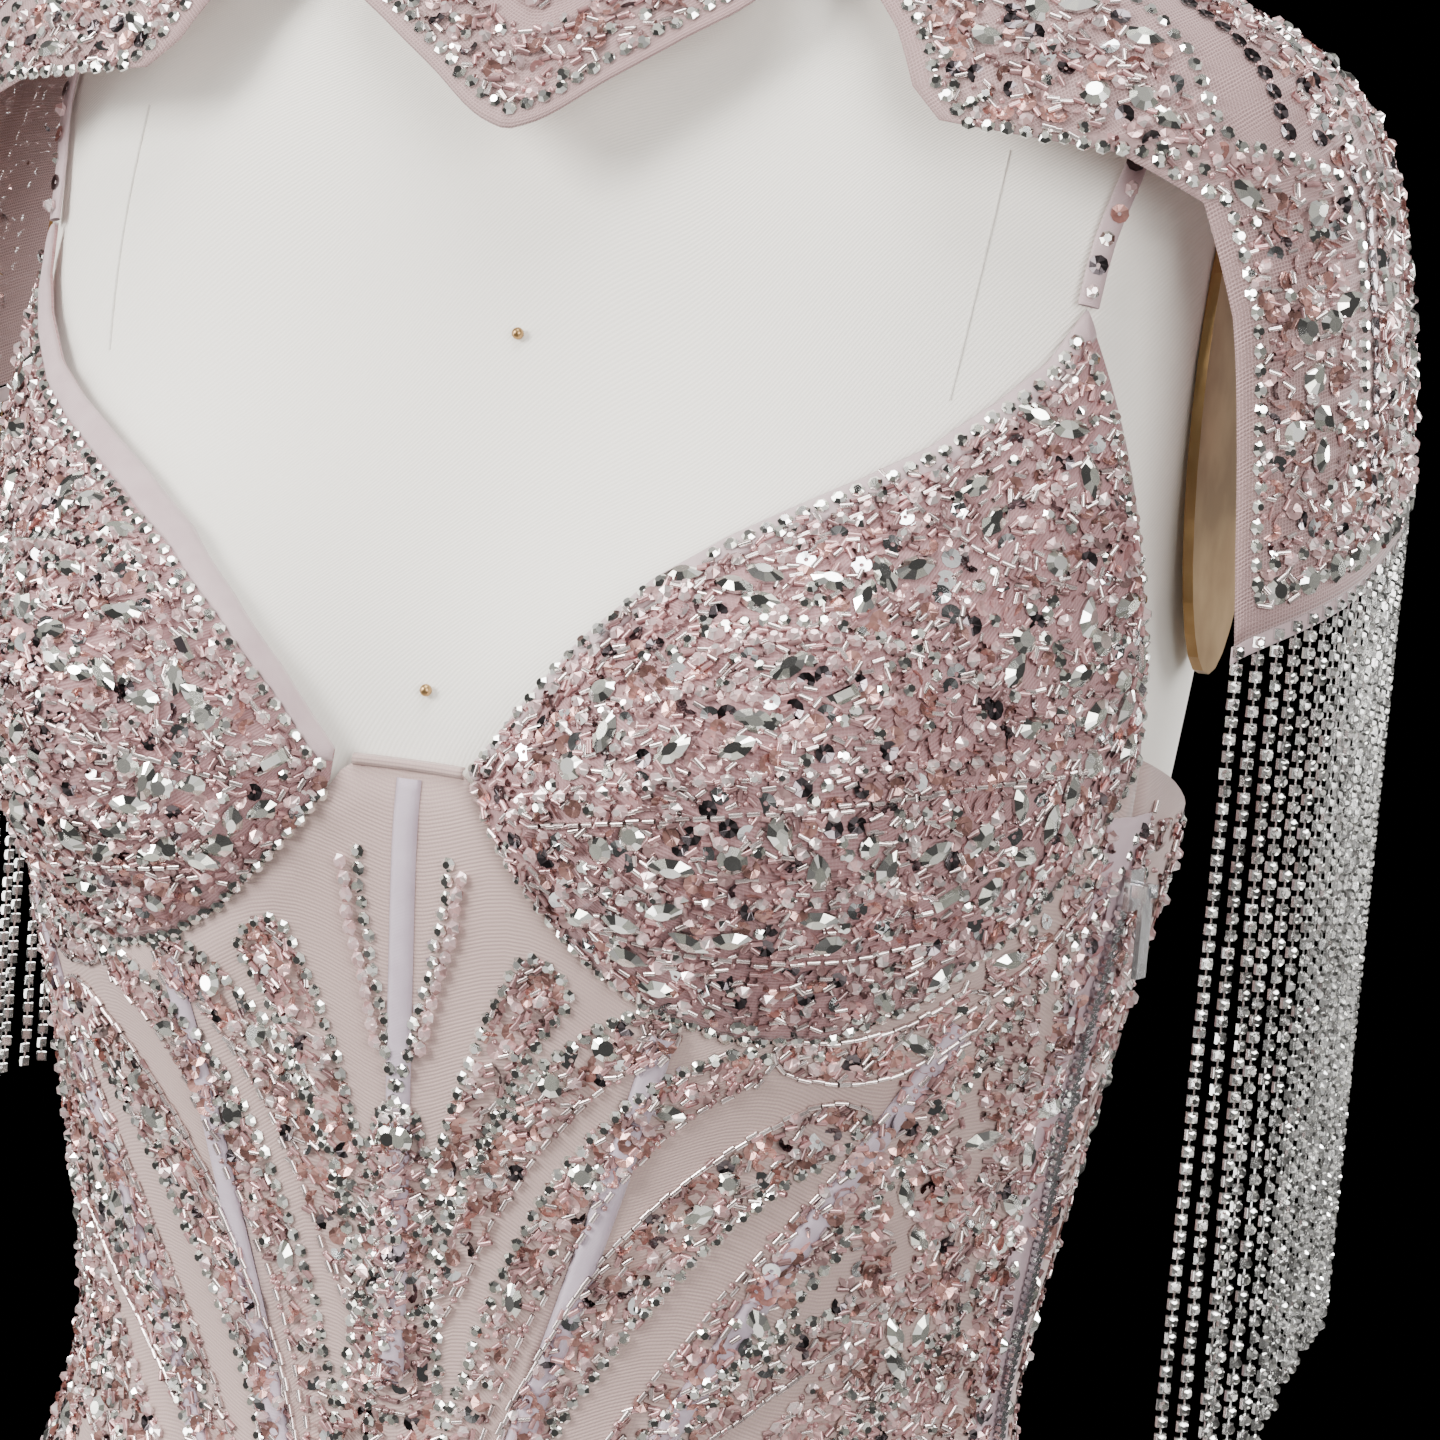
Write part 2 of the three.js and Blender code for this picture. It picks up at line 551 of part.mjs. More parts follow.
function addGores() {
  const mirrored = (seam) => (z) => -seam(z);
  const around = (seam) => (z) => 360 - seam(z);
  const halfColumns = [0, 0.06, 0.12, 0.19, 0.26, 0.34, 0.42, 0.5];
  const centreColumns = [...halfColumns, ...halfColumns.slice(0, -1).reverse().map((u) => 1 - u)];
  addPiece('gore_front_centre', gore(mirrored(princessSeam), princessSeam, centreColumns), 'tulle');
  addPiece('gore_front_left', gore(princessSeam, sideSeam, 12), 'tulle');
  addPiece('gore_front_right', gore(mirrored(sideSeam), mirrored(princessSeam), 12), 'tulle');
  addPiece('gore_back_left', gore(sideSeam, backSeam, 12), 'tulle');
  addPiece('gore_back_right', gore(mirrored(backSeam), mirrored(sideSeam), 12), 'tulle');
  addPiece('gore_back_centre', gore(backSeam, around(backSeam), 12), 'tulle');
}

// A point of a cup: u runs from the centre front to the side, v from the lower edge to the neckline
const cupColumns = CUP_EDGE.map((_, i) => i / (CUP_EDGE.length - 1));
function cupPlace(sign, u, v, height) {
  const at = u * (CUP_EDGE.length - 1);
  const i = Math.min(Math.floor(at), CUP_EDGE.length - 2);
  const value = (key) => THREE.MathUtils.lerp(CUP_EDGE[i][key], CUP_EDGE[i + 1][key], at - i);
  const topAngle = value(sign > 0 ? 'topAngle' : 'topAngleRight');
  const angle = rad(THREE.MathUtils.lerp(value('lowAngle'), topAngle, v));
  const z = THREE.MathUtils.lerp(value('lowZ'), value('topZ'), v);
  const dome = CUP_DOME * (Math.sin(Math.PI * u) * Math.sin(Math.PI * v)) ** 0.75;
  return lifted(bodyRadius, sign * angle, z, height + dome);
}

const cupHeight = (sign, u) => cupPlace(sign, u, 0, 0).distanceTo(cupPlace(sign, u, 1, 0));

function addCups() {
  for (const [side, sign] of [['left', 1], ['right', -1]]) {
    const turned = (u) => (sign > 0 ? u : 1 - u);
    const cup = clothWall(cupColumns, 10, (u, v) => [CLEAR, CLEAR + WALL].map((h) =>
      cupPlace(sign, turned(u), v, h)));
    addPiece(`cup_${side}`, cup, 'tulle');
    const low = CLEAR + WALL + TRIM_GAP;
    const binding = clothWall(cupColumns, 3, (u, v) => {
      const share = Math.min(BINDING_SHARE, BINDING_WIDTH / cupHeight(sign, turned(u)));
      return [low, low + TRIM].map((h) => cupPlace(sign, turned(u), 1 - share * (1 - v), h));
    });
    addPiece(`binding_${side}`, binding, 'binding');
  }
}

// Angle at which the body's surface lies at a place across
function angleAt(x, z) {
  let [low, high] = [0, Math.PI / 2];
  for (let pass = 0; pass < 30; pass += 1) {
    const middle = (low + high) / 2;
    if (bodyRadius(middle, z) * Math.sin(middle) < Math.abs(x)) low = middle;
    else high = middle;
  }
  return Math.sign(x) * low;
}

function addTrims() {
  const low = CLEAR + WALL + TRIM_GAP;
  for (const { name, fromX, fromZ, toX, toZ } of CHANNELS) {
    const steps = Math.ceil((fromZ - toZ) / TRIM_STEP);
    const path = Array.from({ length: steps + 1 }, (_, i) => {
      const x = THREE.MathUtils.lerp(toX, fromX, i / steps);
      const z = THREE.MathUtils.lerp(toZ, fromZ, i / steps);
      return { angle: angleAt(x, z), z };
    });
    addPiece(name, ribbon(panelRadius, path, CHANNEL_WIDTH, low, low + TRIM), 'channel');
  }
  const edge = clothWall(4, 1, (u, v) => {
    const angle = rad(THREE.MathUtils.lerp(-FRONT_TOP_ANGLE, FRONT_TOP_ANGLE, u));
    const z = FRONT_TOP - CENTRE_BINDING_WIDTH * (1 - v);
    return [low, low + TRIM].map((h) => lifted(bodyRadius, angle, z, h));
  });
  addPiece('binding_centre', edge, 'binding');
  const strapHeight = tableCurve(STRAP_PATH, 'angle', 'z');
  for (const [side, sign] of [['left', 1], ['right', -1]]) {
    const wider = sign > 0 ? 0 : CUP_EDGE.at(-1).topAngleRight - CUP_EDGE.at(-1).topAngle;
    const path = Array.from({ length: STRAP_STEPS + 1 }, (_, i) => {
      const degrees = THREE.MathUtils.lerp(STRAP_PATH[0].angle, STRAP_PATH.at(-1).angle, i / STRAP_STEPS);
      const turned = degrees + wider * Math.max(0, 1 - 2 * i / STRAP_STEPS);
      return { angle: sign * rad(turned), z: strapHeight(degrees) };
    });
    const strap = ribbon(bodyRadius, path, STRAP_WIDTH, STRAP_LIFT, STRAP_LIFT + STRAP_THICKNESS);
    addPiece(`strap_${side}`, strap, 'binding');
  }
}

function addCapelet() {
  const wall = [0, CAPELET_WALL];
  const place = (angle, z) => wall.map((h) => lifted(capeletRadius, angle, z, h));
  const lobeEdge = tableCurve(LOBE_EDGE, 'angle', 'z');
  const lobeHalf = LOBE_EDGE.at(-1).angle;
  const lobeTop = COLLAR.low - 2 * SEAM;
  addPiece('capelet_front', clothWall(18, 5, (u, v) => {
    const degrees = THREE.MathUtils.lerp(-lobeHalf, lobeHalf, u);
    return place(rad(degrees), THREE.MathUtils.lerp(lobeEdge(Math.abs(degrees)), lobeTop, v));
  }), 'tulle');

  const lastRow = SHOULDER_ROWS.length - 1;
  const shoulderRows = SHOULDER_ROWS.map((_, i) => i / lastRow);
  for (const [side, sign] of [['left', 1], ['right', -1]]) {
    const shoulder = clothWall(CAP_COLUMNS, shoulderRows, (u, v) => {
      const row = SHOULDER_ROWS[lastRow - Math.round(v * lastRow)];
      const across = sign > 0 ? u : 1 - u;
      const low = THREE.MathUtils.clamp((CAP_TOP - row.z) / (CAP_TOP - SHOULDER_ROWS[lastRow].z), 0, 1);
      const angle = rad(THREE.MathUtils.lerp(row.front, row.back, across));
      return place(sign * angle, row.z + CAP_RISE * low * across ** CAP_RISE_POWER);
    });
    addPiece(`capelet_shoulder_${side}`, shoulder, 'tulle');
  }

  const backAngle = tableCurve([...SHOULDER_ROWS].reverse(), 'z', 'back');
  addPiece('capelet_back', clothWall(14, 4, (u, v) => {
    const z = THREE.MathUtils.lerp(BACK_YOKE_LOW, lobeTop, v);
    const edge = backAngle(z) + 0.4;
    return place(rad(THREE.MathUtils.lerp(edge, 360 - edge, u)), z);
  }), 'tulle');
  addPiece('capelet_collar', ringWall(32, [COLLAR.low, COLLAR.high], place), 'binding');
  const button = new THREE.CylinderGeometry(BUTTON.radius, BUTTON.radius, BUTTON.height, 16);
  const buttonMesh = addPiece('collar_button', button, 'binding');
  buttonMesh.position.copy(lifted(capeletRadius, Math.PI, BUTTON.z, wall[1] + 3 * SEAM + BUTTON.height / 2));
  const out = surfaceNormal(capeletRadius, Math.PI, BUTTON.z);
  buttonMesh.quaternion.setFromUnitVectors(new THREE.Vector3(0, 1, 0), out);
}

// Chains under each cap, rooted in a narrow strip
function addFringe() {
  const lastRow = SHOULDER_ROWS.at(-1);
  const endAt = tableCurve(FRINGE_ENDS, 'share', 'z');
  const hem = (sign, share) => {
    const z = lastRow.z + CAP_RISE * share ** CAP_RISE_POWER;
    return { angle: sign * rad(THREE.MathUtils.lerp(lastRow.front, lastRow.back, share)), z };
  };
  const { out } = FRINGE_STRIP;
  for (const [side, sign] of [['left', 1], ['right', -1]]) {
    const strip = clothWall(CAP_COLUMNS, 1, (u, v) => {
      const { angle, z } = hem(sign, sign > 0 ? u : 1 - u);
      const height = z - SEAM - FRINGE_STRIP.height * (1 - v);
      const half = FRINGE_STRIP.thickness / 2;
      return [out - half, out + half].map((h) => {
        const point = lifted(capeletRadius, angle, z, h);
        point.z = height;
        return point;
      });
    });
    const strands = Array.from({ length: FRINGE_COUNT }, (_, i) => {
      const share = (i + 0.5) / FRINGE_COUNT;
      const { angle, z } = hem(sign, share);
      const top = lifted(capeletRadius, angle, z, out);
      const normal = surfaceNormal(capeletRadius, angle, z).setZ(0).normalize();
      const sideways = normal.clone().cross(new THREE.Vector3(0, 0, 1));
      top.z = z - SEAM - 1.5;
      const foot = top.clone().setZ(endAt(share));
      const half = STRAND / 2;
      const frames = [foot, top].map((point) => ({ point, side: sideways, out: normal }));
      return sweptBar(frames, [[-half, -half], [half, -half], [half, half], [-half, half]]);
    });
    addPiece(`fringe_${side}`, joined([strip, ...strands]), 'chain');
  }
}

// Zip in the left side seam: tape, coil, slider and pull tab
function addZip() {
  const tapeLow = CLEAR + WALL + TRIM_GAP;
  const coilLow = tapeLow + TRIM + TRIM_GAP;
  const rows = Math.ceil((ZIP.top - ZIP.bottom) / TRIM_STEP);
  const strip = (low, high, width, bottom, top, columns) => clothWall(columns, rows, (u, v) => {
    const z = THREE.MathUtils.lerp(bottom, top, v);
    const angle = rad(sideSeam(z));
    const turned = angle + (u - 0.5) * width / panelRadius(angle, z);
    return [low, high].map((h) => lifted(panelRadius, turned, z, h));
  });
  addPiece('zip_tape', strip(tapeLow, tapeLow + TRIM, ZIP.tapeWidth, ZIP.bottom, ZIP.top, 2), 'zip');
  const coilTop = ZIP.sliderZ - SLIDER.length / 2 - SEAM;
  const coil = strip(coilLow, coilLow + ZIP.coilThickness, ZIP.coilWidth, ZIP.bottom + ZIP.coilStart, coilTop, 1);
  addPiece('zip_coil', coil, 'zip');

  const box = (x, y, z, cx, cy, cz) => new THREE.BoxGeometry(x, y, z).translate(cx, cy, cz);
  const rod = (radius, length) => new THREE.CylinderGeometry(radius, radius, length, 16).rotateZ(Math.PI / 2);
  const lugWall = (SLIDER.width - 1 - SLIDER.lugGap) / 2;
  const lugTall = SLIDER.lugHigh - 1;
  const lugs = [-1, 1].map((sign) =>
    box(lugWall, SLIDER.lugLength, lugTall, sign * (SLIDER.lugGap + lugWall) / 2, 0, 1 + lugTall / 2));
  const slider = joined([
    box(SLIDER.width, SLIDER.length, SLIDER.plate, 0, 0, SLIDER.plate / 2),
    ...lugs,
    rod(SLIDER.pinRadius, SLIDER.lugGap + lugWall).translate(0, 0, SLIDER.pinHeight),
  ]);
  const neck = box(TAB.neckWidth, TAB.neckLength, TAB.thickness, 0, -TAB.neckLength / 2, 0);
  const bladeLength = TAB.length - TAB.neckLength + TAB.lap;
  const blade = box(TAB.width, bladeLength, TAB.thickness, 0, -TAB.length + bladeLength / 2, 0);
  const ring = rod(TAB.eyeOuter, TAB.neckWidth);
  const whole = [neck, blade, ring].map(toManifold).reduce((sum, next) => sum.add(next));
  const tab = fromManifold(whole.subtract(toManifold(rod(TAB.eye, TAB.neckWidth + 2))));

  const angle = rad(sideSeam(ZIP.sliderZ));
  const out = surfaceNormal(bodyRadius, angle, ZIP.sliderZ).setZ(0).normalize();
  const across = new THREE.Vector3(0, 0, 1).cross(out);
  const zip = new THREE.Group();
  zip.setRotationFromMatrix(new THREE.Matrix4().makeBasis(across, new THREE.Vector3(0, 0, 1), out));
  zip.position.copy(lifted(bodyRadius, angle, ZIP.sliderZ, coilLow + 1));
  const sliderMesh = addPiece('zip_slider', slider, 'metal');
  const tabMesh = addPiece('zip_pull', tab, 'metal');
  tabMesh.position.z = SLIDER.pinHeight;
  zip.add(sliderMesh, tabMesh);
  dress.add(zip);
}

addStand();
addGores();
addCups();
addTrims();
addCapelet();
addFringe();
addZip();

export default dress;
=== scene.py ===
import math

import bpy
import numpy as np
from mathutils import Matrix, Vector
from mathutils.bvhtree import BVHTree


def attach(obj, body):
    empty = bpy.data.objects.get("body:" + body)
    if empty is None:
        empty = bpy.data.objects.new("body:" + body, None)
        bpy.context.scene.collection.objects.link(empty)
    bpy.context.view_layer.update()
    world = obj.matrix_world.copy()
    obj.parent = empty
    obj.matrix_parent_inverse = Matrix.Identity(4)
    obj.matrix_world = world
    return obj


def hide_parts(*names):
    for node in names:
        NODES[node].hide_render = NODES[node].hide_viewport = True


# Looks of the mermaid evening dress on its limbless dress form.
# Blender's unit is the metre. The garment's own sizes below are millimetres, as a maker writes them,
# and its angles are degrees from the centre front.
# The front faces -Y and the wearer's left is +X.

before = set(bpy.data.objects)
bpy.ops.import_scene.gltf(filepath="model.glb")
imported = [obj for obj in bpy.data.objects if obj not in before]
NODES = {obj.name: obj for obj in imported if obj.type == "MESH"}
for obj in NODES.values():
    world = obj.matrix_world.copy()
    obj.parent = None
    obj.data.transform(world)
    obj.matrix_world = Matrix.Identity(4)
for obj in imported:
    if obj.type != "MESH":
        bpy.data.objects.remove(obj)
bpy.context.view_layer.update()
MM = 0.001
DRESS_BODY = "dress_and_form"
rng = np.random.default_rng(11)

# Sizes of the cloth
CLOTH_LIFT = 1.7             # outer face of the tulle over the body line
BEAD_SINK = 0.1              # how deep a bead's foot lies in the cloth
BEAD_BASE = CLOTH_LIFT - BEAD_SINK
CUP_LIFT = 1.9
BINDING_LIFT = 3.1
BINDING_WIDTH = 6.5
BINDING_SHARE = 0.4
CHANNEL_WIDTH = 6.0
CHANNEL_LIFT = 2.9
CUP_DOME = 8.0
HEM_HEIGHT = 14.3
FOLD_COUNT = 12
FOLD_DEPTH = 24
FOLD_START = 560
CUP_SEAM = 0.9
SEAM = 0.3

# Sizes of the form
TORSO_BOTTOM = 820
NECK_TOP = 1545
FORM_INSET = 3.3
INSET_FADE = (1300, 1385)
ARM_CUT = 156
ARM_CUT_LOW = 1250

# Sections of the body: z, side, front, back, power (2 is an ellipse, more is squarer)
BODY_SECTIONS = np.array([
    (0, 370, 363, 363, 2.1), (150, 312, 302, 304, 2.1), (300, 240, 226, 230, 2.1),
    (420, 176, 162, 166, 2.1), (500, 142, 127, 130, 2.1), (560, 133, 114, 114, 2.1),
    (620, 136, 110, 108, 2.15), (690, 146, 107, 106, 2.2), (760, 158, 104, 110, 2.25),
    (820, 166, 104, 117, 2.25), (880, 168, 107, 122, 2.25), (930, 162, 108, 117, 2.25),
    (980, 148, 104, 106, 2.25), (1030, 133, 96, 94, 2.2), (1080, 124, 89, 85, 2.2),
    (1140, 133, 95, 87, 2.25), (1190, 142, 101, 90, 2.35), (1225, 149, 103, 93, 2.5),
    (1260, 153, 99, 95, 2.65), (1305, 157, 85, 96, 2.8), (1350, 160, 70, 95, 2.9),
    (1385, 161, 62, 91, 2.8), (1405, 158, 57, 87, 2.7), (1425, 150, 51, 83, 2.6),
    (1440, 131, 46, 78, 2.5), (1456, 92, 41, 73, 2.3), (1472, 60, 36, 68, 2.2),
    (1500, 51, 32, 66, 2.2), (1560, 50, 30, 66, 2.2),
])
BUST = {"x": 78, "z": 1256, "spread_x": 46, "spread_z": 50, "depth": 33}

# Sections of the capelet, with the same columns
CAPELET_SECTIONS = np.array([
    (1240, 200, 94, 112, 2.7), (1307, 199, 92, 112, 2.7), (1347, 197, 90, 111, 2.7),
    (1387, 191, 84, 108, 2.7), (1408, 184, 76, 102, 2.7), (1423, 172, 69, 97, 2.7),
    (1437, 147, 61, 91, 2.7), (1452, 111, 51, 82, 2.5), (1468, 66.1, 38.4, 70.2, 2.21),
    (1480, 57.2, 35.9, 68.5, 2.2), (1494, 53, 33.9, 67.5, 2.2), (1510, 52.1, 32.9, 67.4, 2.2),
])

# Outline of a cup: low angle, low z, top angle on the left, top angle on the right, top z
CUP_EDGE = np.array([
    (10.4, 1236.5, 8.6, 10.2, 1244), (14, 1226, 11.6, 13.2, 1251), (19, 1214.5, 15.8, 17.6, 1262),
    (24.5, 1203.5, 21.8, 25, 1277), (31.5, 1194, 29, 33.5, 1291), (41, 1188, 37, 43.5, 1302),
    (50, 1189, 44, 52, 1310), (58.4, 1199, 51, 59.5, 1318), (65, 1214, 57, 65, 1326),
    (71.5, 1231, 63, 69.5, 1338), (76.6, 1247, 67, 71.8, 1348), (79.2, 1258, 70.1, 73, 1361),
])
FRONT_TOP = 1243.5
FRONT_TOP_ANGLE = 7.9
BACK_EDGE = [(90, 1250), (108, 1234), (135, 1211), (180, 1196)]          # angle, z

# Seams between the gores: z, angle from the centre front
PRINCESS_SEAM = [(0, 30), (600, 25), (900, 20), (1040, 19), (1093, 22), (1145, 28.8), (1196, 35), (1260, 38)]
SIDE_SEAM = [(0, 90), (1000, 89), (1100, 87), (1128, 85.3), (1154, 83.4), (1182, 82), (1260, 79.6)]
BACK_SEAM = [(0, 150), (700, 148), (1080, 152), (1260, 146)]

# Boning channels: name, from x, from z, to x, to z
CHANNELS = [
    ("channel_centre", 0, 1239, 0, 1092),
    ("channel_front_left", 65, 1187, 12, 1012),
    ("channel_front_right", -65, 1187, -12, 1012),
    ("channel_side_left", 124, 1193, 36, 1032),
    ("channel_side_right", -124, 1193, -36, 1032),
]
STRAP_WIDTH = 5.2
STRAP_HALF_THICK = 1.0
STRAP_LIFT = 2.0
STRAP_PATH = [                                                           # angle, z
    (70.2, 1361.6), (71.6, 1376), (74.4, 1394), (78, 1412), (84, 1425), (90, 1431),
    (98, 1430), (107, 1418), (116, 1390), (125, 1340), (133, 1280), (138, 1211.6),
]

# The capelet: lower edge of the centre piece, and rows of the shoulder piece (z, front, back angle)
LOBE_EDGE = [(0, 1391), (5, 1393.5), (16, 1404), (28, 1415), (40, 1427), (48.5, 1447)]
COLLAR_LOW = 1470
COLLAR_HIGH = 1494
SHOULDER_ROWS = np.array([
    (1288, 72.8, 106), (1311, 72.4, 106.4), (1336, 72.1, 107), (1362, 71.8, 108),
    (1387, 70.6, 112), (1396.5, 66, 117), (1400.5, 54.8, 120), (1408, 53.4, 121),
    (1421, 53.5, 121), (1435, 52.3, 121.5), (1447, 50.2, 122), (1458, 49.2, 122), (1469.4, 48.9, 122),
])
CAP_TOP = 1400
CAP_RISE = 36
CAP_RISE_POWER = 0.8
CAPELET_LIFT = 1.0
SHEER_THICK = 0.4
BACK_YOKE_LOW = 1404

# Chain fringe: strands, pitch of the stone cups, and where the strands end (share from the front, z)
FRINGE_COUNT = 46
CHAIN_PITCH = 4.0
FRINGE_OUT = 0.6
FRINGE_SHOWN = 2             # every second strand of the solids is shown as a stone chain
FRINGE_TAPE = 4.0
CHAIN_TOP = 2.2              # from the cap's edge down to a chain's first cup
CHAIN_SWING = (1.2, 0.5)     # how far a chain's end swings, along and across the edge
CHAIN_FREE = 1.5             # left out of a chain's length when its cups are counted
CHAIN_TWIST = 0.22
STONE_OUT = 0.9              # from a cup's foot to its stone
LINK_OUT = 0.4
FRINGE_ENDS = [(0, 1074), (0.15, 1080), (0.3, 1102), (0.6, 1115), (1, 1119)]

# Camera as fitted to the photograph
PHOTO_SIZE = 1440
CAMERA = {"azimuth": 21.5, "elevation": 6.0, "roll": 5.0, "distance": 1.0, "target": (0.034, 0.0, 1.25),
          "lens": 98.0, "sensor": 36.0}


# Curves and surfaces

def table_curve(rows, key=0, value=1):
    """A smooth value between the rows of a table, by cubic steps with limited slopes."""
    xs, ys = (np.array([row[column] for row in rows], float) for column in (key, value))
    steps = np.diff(ys) / np.diff(xs)
    product = steps[:-1] * steps[1:]
    total = np.where(np.abs(steps[:-1] + steps[1:]) < 1e-12, 1.0, steps[:-1] + steps[1:])
    slopes = np.concatenate([steps[:1], np.where(product > 0, 2 * product / total, 0), steps[-1:]])

    def curve(x):
        x = np.clip(x, xs[0], xs[-1])
        i = np.clip(np.searchsorted(xs, x, side="right") - 1, 0, len(xs) - 2)
        width = xs[i + 1] - xs[i]
        t = (x - xs[i]) / width
        keep = (1 + 2 * t) * (1 - t) ** 2 * ys[i] + t * t * (3 - 2 * t) * ys[i + 1]
        return keep + width * t * (1 - t) * ((1 - t) * slopes[i] - t * slopes[i + 1])
    return curve


def section_radius(table):
    side, front, back, power = (table_curve(table, 0, column) for column in (1, 2, 3, 4))

    def radius(angle, z):
        across = np.abs(np.sin(angle)) / side(z)
        deep = np.abs(np.cos(angle)) / np.where(np.cos(angle) > 0, front(z), back(z))
        squareness = power(z)
        return (across ** squareness + deep ** squareness) ** (-1 / squareness)
    return radius


plain_radius = section_radius(BODY_SECTIONS)
capelet_radius = section_radius(CAPELET_SECTIONS)


def body_radius(angle, z):
    """Radius of the body at an angle from the centre front, with the bust and the skirt's folds."""
    plain = plain_radius(angle, z)
    x = plain * np.sin(angle)
    up = ((z - BUST["z"]) / BUST["spread_z"]) ** 2
    bust = sum(np.exp(-((x - side * BUST["x"]) / BUST["spread_x"]) ** 2 - up) for side in (-1, 1))
    drop = np.maximum(0, (FOLD_START - z) / (FOLD_START - HEM_HEIGHT))
    fold = FOLD_DEPTH * drop ** 1.5 * (np.cos(FOLD_COUNT * angle) - 1) / 2
    return plain + BUST["depth"] * np.maximum(np.cos(angle), 0) * bust + fold


def surface_point(radius, angle, z):
    angle, z = np.broadcast_arrays(np.asarray(angle, float), np.asarray(z, float))
    r = radius(angle, z)
    return np.stack([r * np.sin(angle), -r * np.cos(angle), z], -1)


def surface_normal(radius, angle, z):
    around = surface_point(radius, angle + 0.01, z) - surface_point(radius, angle - 0.01, z)
    upward = surface_point(radius, angle, z + 1) - surface_point(radius, angle, z - 1)
    out = np.cross(around, upward)
    return out / np.linalg.norm(out, axis=-1, keepdims=True)


def lifted(radius, angle, z, height):
    height = np.asarray(height, float)[..., None]
    return surface_point(radius, angle, z) + surface_normal(radius, angle, z) * height


TOP_ROWS = [(0, FRONT_TOP), (FRONT_TOP_ANGLE, FRONT_TOP)]
TOP_ROWS += [(row[0], row[1] - CUP_SEAM) for row in CUP_EDGE] + BACK_EDGE


def top_edge(angle):
    """Height of the gores' top edge, at an angle in radians."""
    degrees = np.degrees(np.arccos(np.cos(angle)))
    return np.interp(degrees, [row[0] for row in TOP_ROWS], [row[1] for row in TOP_ROWS])


def gore_grid(from_seam, to_seam, columns, rows, lift):
    """Points of a gore between two seams, hem first, and u to the wearer's left."""
    u = np.linspace(0, 1, columns)[None, :]
    v = np.linspace(0, 1, rows)[:, None]
    z = HEM_HEIGHT + (FRONT_TOP - HEM_HEIGHT) * v + 0 * u
    for _ in range(8):
        start, end = np.radians(from_seam(z)), np.radians(to_seam(z))
        gap = SEAM / 2 / body_radius(start, z)
        angle = start + gap + (end - start - 2 * gap) * u
        z = HEM_HEIGHT + (top_edge(angle) - HEM_HEIGHT) * v
    return lifted(body_radius, angle, z, lift)


def cup_points(sign, u, v, lift):
    """Points of a cup: u from the centre front to the side, v from the lower edge to the neckline."""
    u, v = np.broadcast_arrays(np.asarray(u, float), np.asarray(v, float))
    share = np.linspace(0, 1, len(CUP_EDGE))
    low_angle, low_z, left_angle, right_angle, top_z = (np.interp(u, share, column) for column in CUP_EDGE.T)
    top_angle = left_angle if sign > 0 else right_angle
    angle = np.radians(low_angle + (top_angle - low_angle) * v)
    z = low_z + (top_z - low_z) * v
    dome = CUP_DOME * (np.clip(np.sin(np.pi * u) * np.sin(np.pi * v), 0, 1)) ** 0.75
    return lifted(body_radius, sign * angle, z, lift + dome)


def shoulder_points(sign, u, v, lift):
    """Points of a shoulder piece: u from its front to its back edge, v from the cap's edge to the collar."""
    u, v = np.broadcast_arrays(np.asarray(u, float), np.asarray(v, float))
    share = np.linspace(0, 1, len(SHOULDER_ROWS))
    z, front, back = (np.interp(v, share, column) for column in SHOULDER_ROWS.T)
    low = np.clip((CAP_TOP - z) / (CAP_TOP - SHOULDER_ROWS[0][0]), 0, 1)
    angle = np.radians(front + (back - front) * u)
    rise = CAP_RISE * low * np.maximum(u, 0) ** CAP_RISE_POWER
    return lifted(capelet_radius, sign * angle, z + rise, lift)


LOBE_HALF = LOBE_EDGE[-1][0]
LOBE_TOP = COLLAR_LOW - 2 * SEAM
lobe_edge = table_curve(LOBE_EDGE)
shoulder_back = table_curve(SHOULDER_ROWS, 0, 2)


def lobe_points(u, v, lift):
    degrees = -LOBE_HALF + 2 * LOBE_HALF * np.asarray(u, float)
    low = lobe_edge(np.abs(degrees))
    return lifted(capelet_radius, np.radians(degrees), low + (LOBE_TOP - low) * v, lift)


def yoke_points(u, v, lift):
    u, v = np.broadcast_arrays(np.asarray(u, float), np.asarray(v, float))
    z = BACK_YOKE_LOW + (LOBE_TOP - BACK_YOKE_LOW) * v
    edge = shoulder_back(z) + 0.4
    return lifted(capelet_radius, np.radians(edge + (360 - 2 * edge) * u), z, lift)


# Materials

def new_material(name, color, roughness, metallic=0.0, **inputs):
    """A material with its constant numbers on the shader's own sockets."""
    material = bpy.data.materials.new(name)
    material.use_nodes = True
    shader = material.node_tree.nodes["Principled BSDF"]
    shader.inputs["Base Color"].default_value = (*color, 1)
    shader.inputs["Roughness"].default_value = roughness
    shader.inputs["Metallic"].default_value = metallic
    for key, value in inputs.items():
        shader.inputs[key.replace("_", " ")].default_value = value
    return material


def add_node(material, kind, inputs=(), **settings):
    node = material.node_tree.nodes.new(kind)
    for key, value in settings.items():
        setattr(node, key, value)
    for key, value in inputs:
        if hasattr(value, "links"):
            material.node_tree.links.new(value, node.inputs[key])
        else:
            node.inputs[key].default_value = value
    return node


def link(material, output, socket):
    material.node_tree.links.new(output, material.node_tree.nodes["Principled BSDF"].inputs[socket])


def color_ramp(material, factor, stops):
    ramp = add_node(material, "ShaderNodeValToRGB", [("Fac", factor)])
    elements = ramp.color_ramp.elements
    while len(elements) < len(stops):
        elements.new(0.5)
    for element, (position, color) in zip(elements, stops):
        element.position = position
        element.color = (*color, 1)
    return ramp.outputs["Color"]


